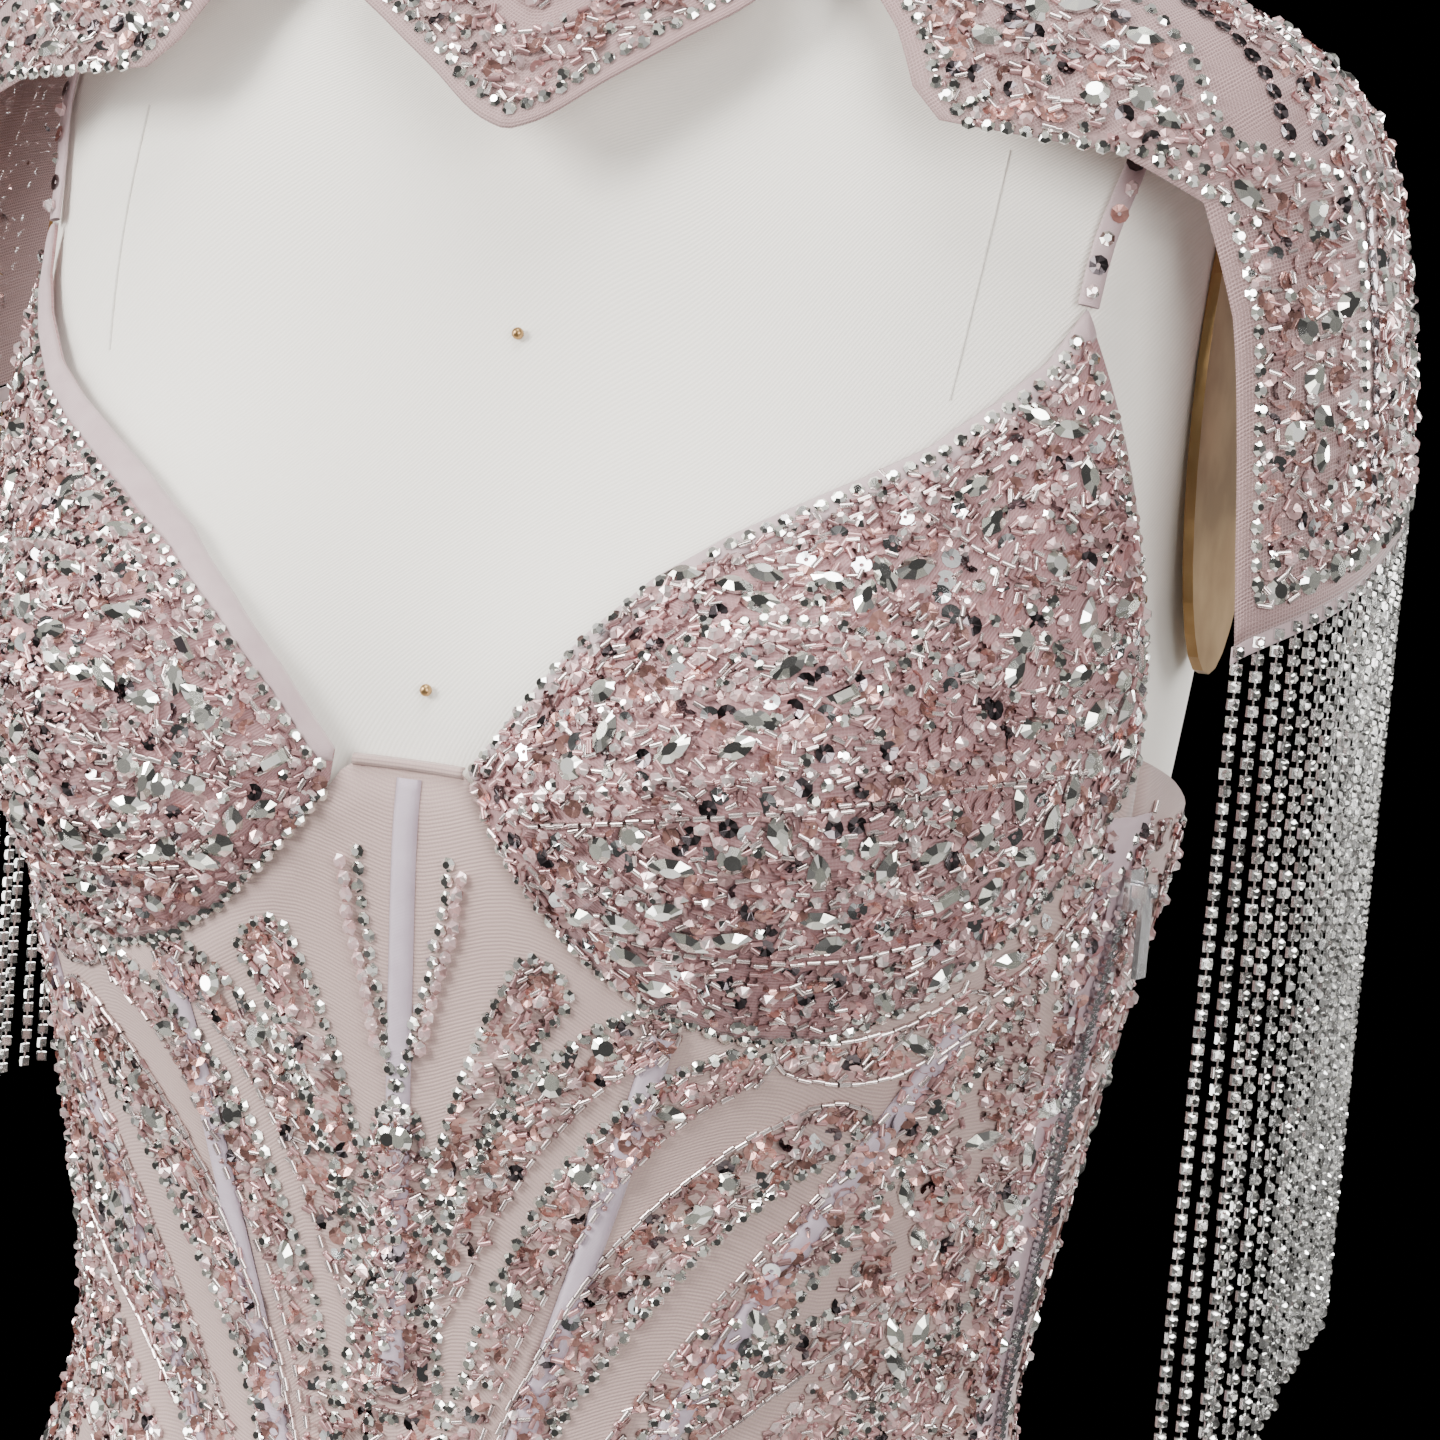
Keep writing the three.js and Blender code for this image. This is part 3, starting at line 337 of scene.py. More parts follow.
def calculate(material, operation, first, second):
    return add_node(material, "ShaderNodeMath", [(0, first), (1, second)], operation=operation).outputs[0]


def bump(material, height, distance, strength):
    inputs = [("Height", height), ("Distance", distance), ("Strength", strength)]
    return add_node(material, "ShaderNodeBump", inputs).outputs["Normal"]


def scaled_uv(material, scale, turn=0.0):
    """The cloth's own coordinates, which are in metres along and across it."""
    uv = add_node(material, "ShaderNodeUVMap", uv_map="Cloth")
    return add_node(material, "ShaderNodeMapping", [
        ("Vector", uv.outputs["UV"]), ("Scale", (scale, scale, scale)), ("Rotation", (0, 0, turn)),
    ]).outputs["Vector"]


# Fineness of the weaves, in the texture's own scale for a cloth measured in metres
TWILL_RIBS, TWILL_TURN = 320.0, math.radians(38)
NET_SCALE, NET_ROWS = 1150.0, 330.0
SATIN_WEFT, TAPE_WEFT = 900.0, 1400.0


def twill_material():
    material = new_material("form_twill", (0.91, 0.88, 0.82), 0.85, Sheen_Weight=0.25, Sheen_Roughness=0.5)
    place = scaled_uv(material, 1.0, TWILL_TURN)
    rib = add_node(material, "ShaderNodeTexWave", [
        ("Vector", place), ("Scale", TWILL_RIBS), ("Distortion", 0.6), ("Detail", 1.0),
        ("Detail Scale", 3.0),
    ], bands_direction="X")
    patch = add_node(material, "ShaderNodeTexNoise", [("Vector", place), ("Scale", 9.0), ("Detail", 4.0)])
    mixed = calculate(material, "ADD", rib.outputs["Fac"], patch.outputs["Fac"])
    link(material, color_ramp(material, calculate(material, "MULTIPLY", mixed, 0.5), [
        (0.15, (0.90, 0.86, 0.785)), (0.85, (0.965, 0.935, 0.865)),
    ]), "Base Color")
    link(material, bump(material, rib.outputs["Fac"], 0.00012, 0.5), "Normal")
    return material


def tulle_material(name, thread, ground, holes):
    """Net cloth: threads over what lies behind; holes is how clear the net is, 0 on a backed cloth."""
    material = new_material(name, thread, 0.7, Sheen_Weight=0.3, Sheen_Roughness=0.4)
    place = scaled_uv(material, 1.0)
    net = add_node(material, "ShaderNodeTexVoronoi", [
        ("Vector", place), ("Scale", NET_SCALE), ("Randomness", 0.25),
    ], feature="DISTANCE_TO_EDGE")
    rows = add_node(material, "ShaderNodeTexWave", [
        ("Vector", place), ("Scale", NET_ROWS), ("Distortion", 0.25), ("Detail", 1.0), ("Detail Scale", 2.0),
    ], bands_direction="Y")
    patch = add_node(material, "ShaderNodeTexNoise", [("Vector", place), ("Scale", 30.0), ("Detail", 5.0)])
    thread_mask = add_node(material, "ShaderNodeMapRange", [
        ("Value", net.outputs["Distance"]), ("From Min", 0.06), ("From Max", 0.2),
        ("To Min", 1.0), ("To Max", 0.0),
    ])
    tone = calculate(material, "ADD", thread_mask.outputs["Result"], rows.outputs["Fac"])
    tone = calculate(material, "ADD", tone, patch.outputs["Fac"])
    tone = calculate(material, "MULTIPLY", tone, 0.34)
    link(material, color_ramp(material, tone, [(0.2, ground), (0.75, thread)]), "Base Color")
    link(material, bump(material, rows.outputs["Fac"], 0.00015, 0.6), "Normal")
    if holes > 0:
        cover = add_node(material, "ShaderNodeMapRange", [
            ("Value", thread_mask.outputs["Result"]), ("To Min", 1 - holes), ("To Max", 0.97),
        ])
        link(material, cover.outputs["Result"], "Alpha")
    return material


def satin_material(name, low, high, weave=SATIN_WEFT):
    material = new_material(name, high, 0.5, Sheen_Weight=0.4, Sheen_Roughness=0.35)
    place = scaled_uv(material, 1.0)
    weft = add_node(material, "ShaderNodeTexWave", [
        ("Vector", place), ("Scale", weave), ("Distortion", 0.5),
    ], bands_direction="Y")
    patch = add_node(material, "ShaderNodeTexNoise", [("Vector", place), ("Scale", 120.0), ("Detail", 6.0)])
    link(material, color_ramp(material, patch.outputs["Fac"], [(0.3, low), (0.7, high)]), "Base Color")
    link(material, bump(material, weft.outputs["Fac"], 0.0001, 0.5), "Normal")
    return material


def speckled(material, scale, low, high, depth):
    """Fine mottling and bump on a hard surface, by object coordinates."""
    place = add_node(material, "ShaderNodeTexCoord").outputs["Object"]
    noise = add_node(material, "ShaderNodeTexNoise", [("Vector", place), ("Scale", scale), ("Detail", 4.0)])
    link(material, color_ramp(material, noise.outputs["Fac"], [(0.35, low), (0.65, high)]), "Base Color")
    link(material, bump(material, noise.outputs["Fac"], depth, 0.4), "Normal")
    return material


MATERIALS = {
    "twill": twill_material(),
    "gore": tulle_material("beaded_tulle_backed", (0.425, 0.295, 0.285), (0.50, 0.37, 0.33), 0.0),
    "cup": tulle_material("beaded_tulle_cup", (0.42, 0.245, 0.25), (0.30, 0.155, 0.16), 0.0),
    "capelet": tulle_material("beaded_tulle_sheer", (0.44, 0.29, 0.285), (0.37, 0.235, 0.23), 0.42),
    "binding": satin_material("binding_satin", (0.48, 0.35, 0.37), (0.57, 0.44, 0.45)),
    "channel": satin_material("boning_satin", (0.46, 0.37, 0.45), (0.55, 0.46, 0.54)),
    "zip_tape": satin_material("zip_tape", (0.48, 0.34, 0.38), (0.56, 0.41, 0.45), TAPE_WEFT),
    "brass": speckled(new_material("form_brass", (0.45, 0.29, 0.13), 0.34, 1.0), 60,
                      (0.36, 0.22, 0.095), (0.50, 0.33, 0.16), 0.0001),
    "steel": speckled(new_material("stand_steel", (0.6, 0.6, 0.62), 0.3, 1.0), 80,
                      (0.52, 0.53, 0.55), (0.64, 0.65, 0.67), 0.0001),
    "base": speckled(new_material("stand_base", (0.02, 0.02, 0.022), 0.4, 0.0), 300,
                     (0.014, 0.014, 0.016), (0.03, 0.03, 0.033), 0.0002),
    "nickel": speckled(new_material("zip_metal", (0.75, 0.75, 0.77), 0.2, 1.0), 400,
                       (0.66, 0.66, 0.68), (0.8, 0.8, 0.82), 0.00005),
    "thread": speckled(new_material("seam_thread", (0.68, 0.65, 0.6), 0.8), 900,
                       (0.62, 0.59, 0.54), (0.72, 0.69, 0.64), 0.0001),
}


def bead_material(name, color, roughness, metallic, spread=0.12, **inputs):
    """A bead's material, a little different from bead to bead by its place: a bead's own finish, or a lit or
    shaded copy of one that paints light and shade on stone facets.
    """
    material = new_material(name, color, roughness, metallic, **inputs)
    place = add_node(material, "ShaderNodeTexCoord").outputs["Object"]
    cell = add_node(material, "ShaderNodeTexVoronoi", [("Vector", place), ("Scale", 160.0)])
    tone = add_node(material, "ShaderNodeSeparateColor", [("Color", cell.outputs["Color"])])
    low = [max(0.0, value * (1 - 2 * spread)) for value in color]
    high = [min(1.0, value * (1 + spread)) for value in color]
    link(material, color_ramp(material, tone.outputs["Red"], [(0.1, low), (0.9, high)]), "Base Color")
    return material


# Bead materials. The first three are lit, half-lit and shaded copies of one silvery stone: painted glints,
# painted half shade and painted shade on the facets of the cut stones. The others are the beads' own colours
# and the silver of the settings.
FINISHES_AND_PAINTED_FACET_LIGHT = {
    "bright": bead_material("stone_bright", (0.98, 0.98, 0.95), 0.07, 1.0, 0.03),
    "middle": bead_material("stone_painted_half_shade", (0.84, 0.84, 0.77), 0.12, 0.85),
    "dark": bead_material("stone_painted_shade", (0.57, 0.58, 0.51), 0.2, 0.75),
    "setting": bead_material("chain_silver", (0.72, 0.72, 0.71), 0.22, 1.0),
    "pale": bead_material("crystal_pale", (0.74, 0.52, 0.525), 0.12, 0.35, 0.12, Coat_Weight=0.9),
    "clear": bead_material("crystal_clear", (0.88, 0.76, 0.75), 0.1, 0.6, 0.12, Coat_Weight=0.9),
    "bugle": bead_material("bugle_lined", (0.93, 0.77, 0.75), 0.18, 0.85, 0.15),
    "seed": bead_material("seed_pink", (0.50, 0.28, 0.28), 0.18, 0.4, 0.25, Coat_Weight=0.6),
    "copper": bead_material("sequin_copper", (0.52, 0.27, 0.235), 0.2, 0.7, 0.25, Coat_Weight=0.5),
    "rose": bead_material("sequin_rose", (0.66, 0.41, 0.40), 0.22, 0.55, 0.2, Coat_Weight=0.5),
    "mirror": bead_material("sequin_mirror", (0.85, 0.86, 0.88), 0.08, 1.0, 0.05),
    "smoke": bead_material("sequin_smoke", (0.13, 0.11, 0.12), 0.14, 1.0, 0.1),
}


# Meshes

def joined_mesh(name, points, corners, sizes, materials, indices, smooth):
    """A mesh from arrays: points in millimetres, the corners of all faces in turn, and each face's count."""
    mesh = bpy.data.meshes.new(name)
    mesh.vertices.add(len(points))
    mesh.vertices.foreach_set("co", (points * MM).ravel())
    mesh.loops.add(len(corners))
    mesh.loops.foreach_set("vertex_index", corners.astype(np.int32))
    mesh.polygons.add(len(sizes))
    mesh.polygons.foreach_set("loop_start", np.concatenate([[0], np.cumsum(sizes)[:-1]]).astype(np.int32))
    mesh.polygons.foreach_set("use_smooth", np.full(len(sizes), smooth))
    for material in materials:
        mesh.materials.append(material)
    mesh.polygons.foreach_set("material_index", indices.astype(np.int32))
    mesh.update(calc_edges=True)
    made = bpy.data.objects.new(name, mesh)
    bpy.context.scene.collection.objects.link(made)
    return made


def mesh_object(name, points, faces, material, smooth=True, uv=None):
    """A piece of one material, from points in millimetres and a list of faces."""
    corners = np.concatenate([np.asarray(face) for face in faces])
    sizes = np.array([len(face) for face in faces])
    made = joined_mesh(name, np.asarray(points, float), corners, sizes, [material], 0 * sizes, smooth)
    if uv is not None:
        layer = made.data.uv_layers.new(name="Cloth")
        layer.uv.foreach_set("vector", (uv[corners] * MM).ravel().astype(np.float32))
    made.data.validate()
    return made


def directions(line):
    """Unit steps along a line of points."""
    steps = np.gradient(line, axis=0)
    return steps / np.linalg.norm(steps, axis=1, keepdims=True)


def grid_faces(rows, columns, closed=False):
    j, i = np.meshgrid(np.arange(rows - 1), np.arange(columns if closed else columns - 1), indexing="ij")
    k = (i + 1) % columns
    low, high = j * columns, (j + 1) * columns
    return np.stack([low + i, low + k, high + k, high + i], -1).reshape(-1, 4)


def arc_lengths(points, axis):
    steps = np.linalg.norm(np.diff(points, axis=axis), axis=-1)
    start = np.zeros_like(np.take(steps, [0], axis))
    return np.concatenate([start, np.cumsum(steps, axis)], axis)


def cloth_lengths(points):
    """Lengths across and along a grid, in millimetres, which serve as its UV coordinates."""
    return np.stack([arc_lengths(points, 1), arc_lengths(points, 0)], -1).reshape(-1, 2)


def grid_object(name, points, material, closed=False):
    rows, columns = points.shape[:2]
    return mesh_object(name, points.reshape(-1, 3), grid_faces(rows, columns, closed), MATERIALS[material],
                       uv=cloth_lengths(points))


LEAST_CUT = 0.0101           # narrowest strip that is cut, in metres
CUT_SHARE = (0.31, 0.99)     # least and most of its rectangle that a cut piece takes


def thicken(piece, thickness):
    """Gives a cloth face its thickness, inwards."""
    modifier = piece.modifiers.new("Cloth thickness", "SOLIDIFY")
    modifier.thickness = thickness * MM
    modifier.offset = -1
    return piece


def flat_size(points):
    """Width and length of the flat cloth that a grid was cut from, in metres."""
    spans = arc_lengths(points, 1)[:, -1].max(), arc_lengths(points, 0)[-1].max()
    return tuple(max(float(span * MM), LEAST_CUT) for span in spans)


def cloth(name, points, material, thickness, node):
    """A cloth piece in place of its CAD node."""
    piece = thicken(grid_object(name, points, material), thickness)
    width, length = flat_size(points)
    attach(piece, DRESS_BODY)
    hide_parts(node)
    diagonals = points[1:, 1:] - points[:-1, :-1], points[1:, :-1] - points[:-1, 1:]
    area = float(np.linalg.norm(np.cross(*diagonals), axis=-1).sum() / 2 * MM * MM)
    area = min(max(area, CUT_SHARE[0] * width * length), CUT_SHARE[1] * width * length)
    return piece


def finish_node(node, material):
    NODES[node].data.materials.clear()
    NODES[node].data.materials.append(MATERIALS[material])


def tree_of(points, closed=False):
    """A search tree over a grid of points in millimetres."""
    rows, columns = points.shape[:2]
    return BVHTree.FromPolygons(points.reshape(-1, 3).tolist(), grid_faces(rows, columns, closed).tolist())


# Camera

def camera_axes():
    azimuth, elevation, roll = (math.radians(CAMERA[key]) for key in ("azimuth", "elevation", "roll"))
    back = np.array([math.sin(azimuth) * math.cos(elevation), -math.cos(azimuth) * math.cos(elevation),
                     math.sin(elevation)])
    right = np.array([math.cos(azimuth), math.sin(azimuth), 0.0])
    up = np.cross(back, right)
    return (right * math.cos(roll) + up * math.sin(roll), up * math.cos(roll) - right * math.sin(roll), back)


CAMERA_RIGHT, CAMERA_UP, CAMERA_BACK = camera_axes()
CAMERA_EYE = np.array(CAMERA["target"]) + CAMERA_BACK * CAMERA["distance"]
FOCAL_PIXELS = CAMERA["lens"] / CAMERA["sensor"] * PHOTO_SIZE


def add_camera():
    data = bpy.data.cameras.new("camera")
    data.lens = CAMERA["lens"]
    data.sensor_width = CAMERA["sensor"]
    data.clip_start = 0.05
    camera = bpy.data.objects.new("camera", data)
    bpy.context.scene.collection.objects.link(camera)
    columns = [Vector(axis) for axis in (CAMERA_RIGHT, CAMERA_UP, CAMERA_BACK)]
    rotation = Matrix([[column[row] for column in columns] for row in range(3)])
    camera.matrix_world = Matrix.Translation(Vector(CAMERA_EYE)) @ rotation.to_4x4()
    bpy.context.scene.camera = camera


def photo_point(pixel, tree):
    """Where a pixel of the photograph lies on a surface: its place and normal, or None."""
    across, down = pixel
    way = -CAMERA_BACK + CAMERA_RIGHT * (across - PHOTO_SIZE / 2) / FOCAL_PIXELS \
        + CAMERA_UP * (PHOTO_SIZE / 2 - down) / FOCAL_PIXELS
    place, normal, _, _ = tree.ray_cast(Vector(CAMERA_EYE / MM), Vector(way))
    return None if place is None else (np.array(place), np.array(normal))


def bent(start, middle, end, count=60):
    """A plain curve through three pixels of the photograph."""
    start, middle, end = (np.array(pixel, float) for pixel in (start, middle, end))
    t = np.linspace(0, 1, count)[:, None]
    control = 2 * middle - (start + end) / 2
    return (1 - t) ** 2 * start + 2 * t * (1 - t) * control + t * t * end


def photo_line(pixels, tree):
    """A line of pixels of the photograph, as points on a surface."""
    found = [photo_point(pixel, tree) for pixel in pixels]
    return np.array([hit[0] for hit in found if hit is not None])


# The dress form and its stand

def add_form():
    rows, columns = 120, 112
    z = np.linspace(TORSO_BOTTOM, NECK_TOP, rows)[:, None]
    angle = np.linspace(-np.pi, np.pi, columns, endpoint=False)[None, :]
    fade = np.clip((z - INSET_FADE[0]) / (INSET_FADE[1] - INSET_FADE[0]), 0, 1)
    inset = FORM_INSET * (1 - fade * fade * (3 - 2 * fade))
    points = surface_point(lambda a, h: body_radius(a, h) - inset, angle, z)
    upper = points[..., 2] > ARM_CUT_LOW
    points[..., 0] = np.where(upper, np.clip(points[..., 0], -ARM_CUT, ARM_CUT), points[..., 0])
    faces = [tuple(face) for face in grid_faces(rows, columns, closed=True)]
    faces += [tuple(range(columns - 1, -1, -1)), tuple((rows - 1) * columns + i for i in range(columns))]
    torso = mesh_object("form_body", points.reshape(-1, 3), faces, MATERIALS["twill"],
                        uv=cloth_lengths(points))
    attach(torso, DRESS_BODY)
    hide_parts("form_torso")
    finish_node("form_arm_plate_left", "brass")
    finish_node("form_arm_plate_right", "brass")
    finish_node("form_neck_cap", "brass")
    finish_node("stand_pole", "steel")
    finish_node("stand_base", "base")
    return tree_of(points, closed=True)


def tube_along(points, radius, sides):
    """Rings of points round a line, for a round bar."""
    along = directions(points)
    aside = np.cross(along, [0.3, 0.2, 0.93])
    aside /= np.linalg.norm(aside, axis=1, keepdims=True)
    other = np.cross(along, aside)
    turn = np.linspace(0, 2 * np.pi, sides, endpoint=False)[None, :, None]
    return points[:, None] + radius * (np.cos(turn) * aside[:, None] + np.sin(turn) * other[:, None])


# Seam lines and pins of the form, as pixels of the photograph
FORM_SEAMS = [
    ((150, 105), (124, 230), (110, 350)),
    ((1010, 150), (982, 270), (950, 400)),
]
FORM_PINS = [(520, 335), (428, 691)]
FORM_SEAM_RADIUS = 0.32
PIN_RADIUS = 1.5
PIN_OUT = 0.9                # how far a pin's middle stands out, as a share of its radius


def add_form_details(torso_tree):
    for number, pixels in enumerate(FORM_SEAMS):
        line = photo_line(bent(*pixels), torso_tree)
        bar = tube_along(line, FORM_SEAM_RADIUS, 6)
        seam = grid_object(f"form_seam_{number}", bar, "thread", closed=True)
        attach(seam, DRESS_BODY)
    turns = np.linspace(0, 2 * np.pi, 16, endpoint=False)[None, :]
    rise = np.linspace(-0.5 * np.pi, 0.5 * np.pi, 9)[:, None]
    ball = [np.cos(rise) * np.cos(turns), np.cos(rise) * np.sin(turns), np.sin(rise) + 0 * turns]
    ball = np.stack(ball, -1)
    for number, pixel in enumerate(FORM_PINS):
        place, normal = photo_point(pixel, torso_tree)
        points = ball * PIN_RADIUS + place + normal * PIN_OUT * PIN_RADIUS
        pin = grid_object(f"form_pin_{number}", points, "brass", closed=True)
        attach(pin, DRESS_BODY)


# The cloth pieces

def mirrored(seam):
    return lambda z: -seam(z)


def around(seam):
    return lambda z: 360 - seam(z)


def add_gores():
    princess, side, back = table_curve(PRINCESS_SEAM), table_curve(SIDE_SEAM), table_curve(BACK_SEAM)
    cuts = {
        "gore_front_centre": (mirrored(princess), princess),
        "gore_front_left": (princess, side),
        "gore_front_right": (mirrored(side), mirrored(princess)),
        "gore_back_left": (side, back),
        "gore_back_right": (mirrored(back), mirrored(side)),
        "gore_back_centre": (back, around(back)),
    }
    for name, (start, end) in cuts.items():
        points = gore_grid(start, end, 25, 104, CLOTH_LIFT)
        cloth(f"tulle_{name}", points, "gore", 0.45, name)


def add_cups():
    trees = {}
    u = np.linspace(0, 1, 68)[None, :]
    v = np.linspace(0, 1, 52)[:, None]
    for side, sign in (("left", 1), ("right", -1)):
        across = u if sign > 0 else u[:, ::-1]
        points = cup_points(sign, across, v, CUP_LIFT)
        cloth(f"tulle_cup_{side}", points, "cup", 1.0, f"cup_{side}")
        trees[side] = tree_of(points)
        height = np.linalg.norm(points[-1] - points[0], axis=-1)[None, :]
        share = np.minimum(BINDING_SHARE, BINDING_WIDTH / np.maximum(height, 1))
        round_over = np.linspace(0, 1, 9)[:, None]
        lift = CUP_LIFT + (BINDING_LIFT - CUP_LIFT) * np.sin(np.pi * round_over) ** 0.4
        binding = cup_points(sign, across, 1 - share * (1 - round_over), lift)
        cloth(f"satin_binding_{side}", binding, "binding", 0.6, f"binding_{side}")
        trees[f"binding_{side}"] = tree_of(binding)
    angle = np.radians(np.linspace(-FRONT_TOP_ANGLE, FRONT_TOP_ANGLE, 24))[None, :]
    fold = np.linspace(0, 1, 7)[:, None]
    lift = CLOTH_LIFT + 1.3 * np.sin(np.pi * fold) ** 0.5
    edge = lifted(body_radius, angle, FRONT_TOP - 2.8 * (1 - fold) + 0 * angle, lift + 0 * angle)
    cloth("folded_edge_centre", edge, "gore", 0.4, "binding_centre")
    return trees


def angle_at(x, z):
    """The angle at which the body's surface lies at a place across."""
    low, high = np.zeros_like(z), np.full_like(z, np.pi / 2)
    for _ in range(30):
        middle = (low + high) / 2
        inside = body_radius(middle, z) * np.sin(middle) < np.abs(x)
        low, high = np.where(inside, middle, low), np.where(inside, high, middle)
    return np.sign(x) * low


def ribbon_points(angle, z, width, lifts):
    """A ribbon along a line on the body, with a rounded top: one row of points for each side step."""
    centre = surface_point(body_radius, angle, z)
    out = surface_normal(body_radius, angle, z)
    side = np.cross(out, directions(centre))
    across = np.linspace(-0.5, 0.5, len(lifts))[None, :, None] * width
    upward = np.array(lifts)[None, :, None]
    return centre[:, None] + side[:, None] * across + out[:, None] * upward


def add_channels():
    rounded = CHANNEL_LIFT - 0.2
    lifts = [CLOTH_LIFT, rounded, CHANNEL_LIFT, CHANNEL_LIFT, CHANNEL_LIFT, rounded, CLOTH_LIFT]
    for name, from_x, from_z, to_x, to_z in CHANNELS:
        z = np.linspace(to_z, from_z, 60)
        x = np.linspace(to_x, from_x, 60)
        points = ribbon_points(angle_at(x, z), z, CHANNEL_WIDTH, lifts)
        cloth(f"tape_{name}", points, "channel", 0.35, name)


def strap_line(sign):
    height = table_curve(STRAP_PATH)
    degrees = np.linspace(STRAP_PATH[0][0], STRAP_PATH[-1][0], 90)
    wider = 0 if sign > 0 else CUP_EDGE[-1][3] - CUP_EDGE[-1][2]
    step = np.linspace(0, 1, 90)
    return sign * np.radians(degrees + wider * np.maximum(0, 1 - 2 * step)), height(degrees)


def add_straps():
    for side, sign in (("left", 1), ("right", -1)):
        angle, z = strap_line(sign)
        centre = lifted(body_radius, angle, z, STRAP_LIFT + 0 * z)
        out = surface_normal(body_radius, angle, z)
        aside = np.cross(out, directions(centre))
        turn = np.linspace(0, 2 * np.pi, 16, endpoint=False)
        rings = centre[:, None] + aside[:, None] * (np.cos(turn) * STRAP_WIDTH / 2)[None, :, None] \
            + out[:, None] * (np.sin(turn) * STRAP_HALF_THICK)[None, :, None]
        strap = grid_object(f"satin_strap_{side}", rings, "binding", closed=True)
        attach(strap, DRESS_BODY)
        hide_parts(f"strap_{side}")


def add_capelet():
    fine = np.linspace(0, 1, 50)
    rows = np.linspace(0, 1, 73)[:, None]
    lobe = lobe_points(fine[None, :], rows[::2], CAPELET_LIFT)
    cloth("sheer_capelet_front", lobe, "capelet", SHEER_THICK, "capelet_front")
    for side, sign in (("left", 1), ("right", -1)):
        u = fine if sign > 0 else fine[::-1]
        shoulder = shoulder_points(sign, u[None, :], rows, CAPELET_LIFT)
        cloth(f"sheer_shoulder_{side}", shoulder, "capelet", SHEER_THICK, f"capelet_shoulder_{side}")
    yoke = yoke_points(fine[None, :], rows[::3], CAPELET_LIFT)
    cloth("sheer_capelet_back", yoke, "capelet", SHEER_THICK, "capelet_back")
    turn = np.linspace(0, 2 * np.pi, 120, endpoint=False)[None, :]
    rise = np.linspace(0, 1, 12)[:, None]
    bulge = 0.4 + 0.8 * np.sin(np.pi * rise) ** 0.5
    height = COLLAR_LOW + (COLLAR_HIGH - COLLAR_LOW) * rise
    collar = lifted(capelet_radius, turn + 0 * rise, height + 0 * turn, bulge + 0 * turn)
    band = thicken(grid_object("satin_collar", collar, "binding", closed=True), 0.8)
    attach(band, DRESS_BODY)
    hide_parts("capelet_collar")
    width, length = flat_size(collar)
    finish_node("collar_button", "binding")


# Beads: each kind is a small template with its base at z = 0, one unit across

def ring(count, radius, z, turn=0.0):
    angle = np.linspace(0, 2 * np.pi, count, endpoint=False) + turn
    return np.stack([radius * np.cos(angle), radius * np.sin(angle), np.full(count, z)], -1)


def faceted(outline, crown, girdle, top, facet_finish_and_light):
    """A cut stone: straight sides up to the girdle, crown facets, and a flat table. The crown facets take
    the given looks in turn, which on the stones are painted glints and shade.
    """
    count = len(outline)
    points = np.concatenate([outline * [1, 1, 0], outline * [1, 1, 0] + [0, 0, girdle],
                             outline * [crown, crown, 0] + [0, 0, top]])
    faces, looks = [], []
    for i in range(count):
        k = (i + 1) % count
        faces.append((i, k, count + k, count + i))
        looks.append("setting")
        faces.append((count + i, count + k, 2 * count + k, 2 * count + i))
        looks.append(facet_finish_and_light[i % len(facet_finish_and_light)])
    faces.append(tuple(range(2 * count, 3 * count)))
    looks.append(facet_finish_and_light[0])
    return points, faces, looks


def lens_outline(count, point_at_both_ends=True):
    angle = np.linspace(0, 2 * np.pi, count, endpoint=False)
    across = np.cos(angle) / 2
    side = np.sin(angle) / 2
    if point_at_both_ends:
        side = side * np.abs(np.sin(angle)) ** 0.5
    else:
        side = side * (1 - 0.55 * np.clip(np.cos(angle), 0, 1) ** 0.7)
    return np.stack([across, side, np.zeros(count)], -1)


def lathe_template(profile, count, looks, closed_top=True):
    """A turned bead: rings of a profile, with its looks taken in turn round it."""
    rows = [ring(count, radius, z, 0.3 * row) for row, (radius, z) in enumerate(profile)]
    faces = []
    for j in range(len(profile) - 1):
        for i in range(count):
            k = (i + 1) % count
            faces.append((j * count + i, j * count + k, (j + 1) * count + k, (j + 1) * count + i))
    if closed_top:
        faces.append(tuple((len(profile) - 1) * count + i for i in range(count)))
    return np.concatenate(rows), faces, [looks[i % len(looks)] for i in range(len(faces))]


def bar_template(sides, look, ends=True):
    """A bar one unit long along x that lies on its side."""
    angle = np.linspace(0, 2 * np.pi, sides, endpoint=False)
    circle = np.stack([np.zeros(sides), np.cos(angle) / 2, 0.5 + np.sin(angle) / 2], -1)
    points = np.concatenate([circle - [0.5, 0, 0], circle + [0.5, 0, 0]])
    faces = [(i, (i + 1) % sides, sides + (i + 1) % sides, sides + i) for i in range(sides)]
    if ends:
        faces += [tuple(range(sides - 1, -1, -1)), tuple(range(sides, 2 * sides))]
    return points, faces, [look] * len(faces)
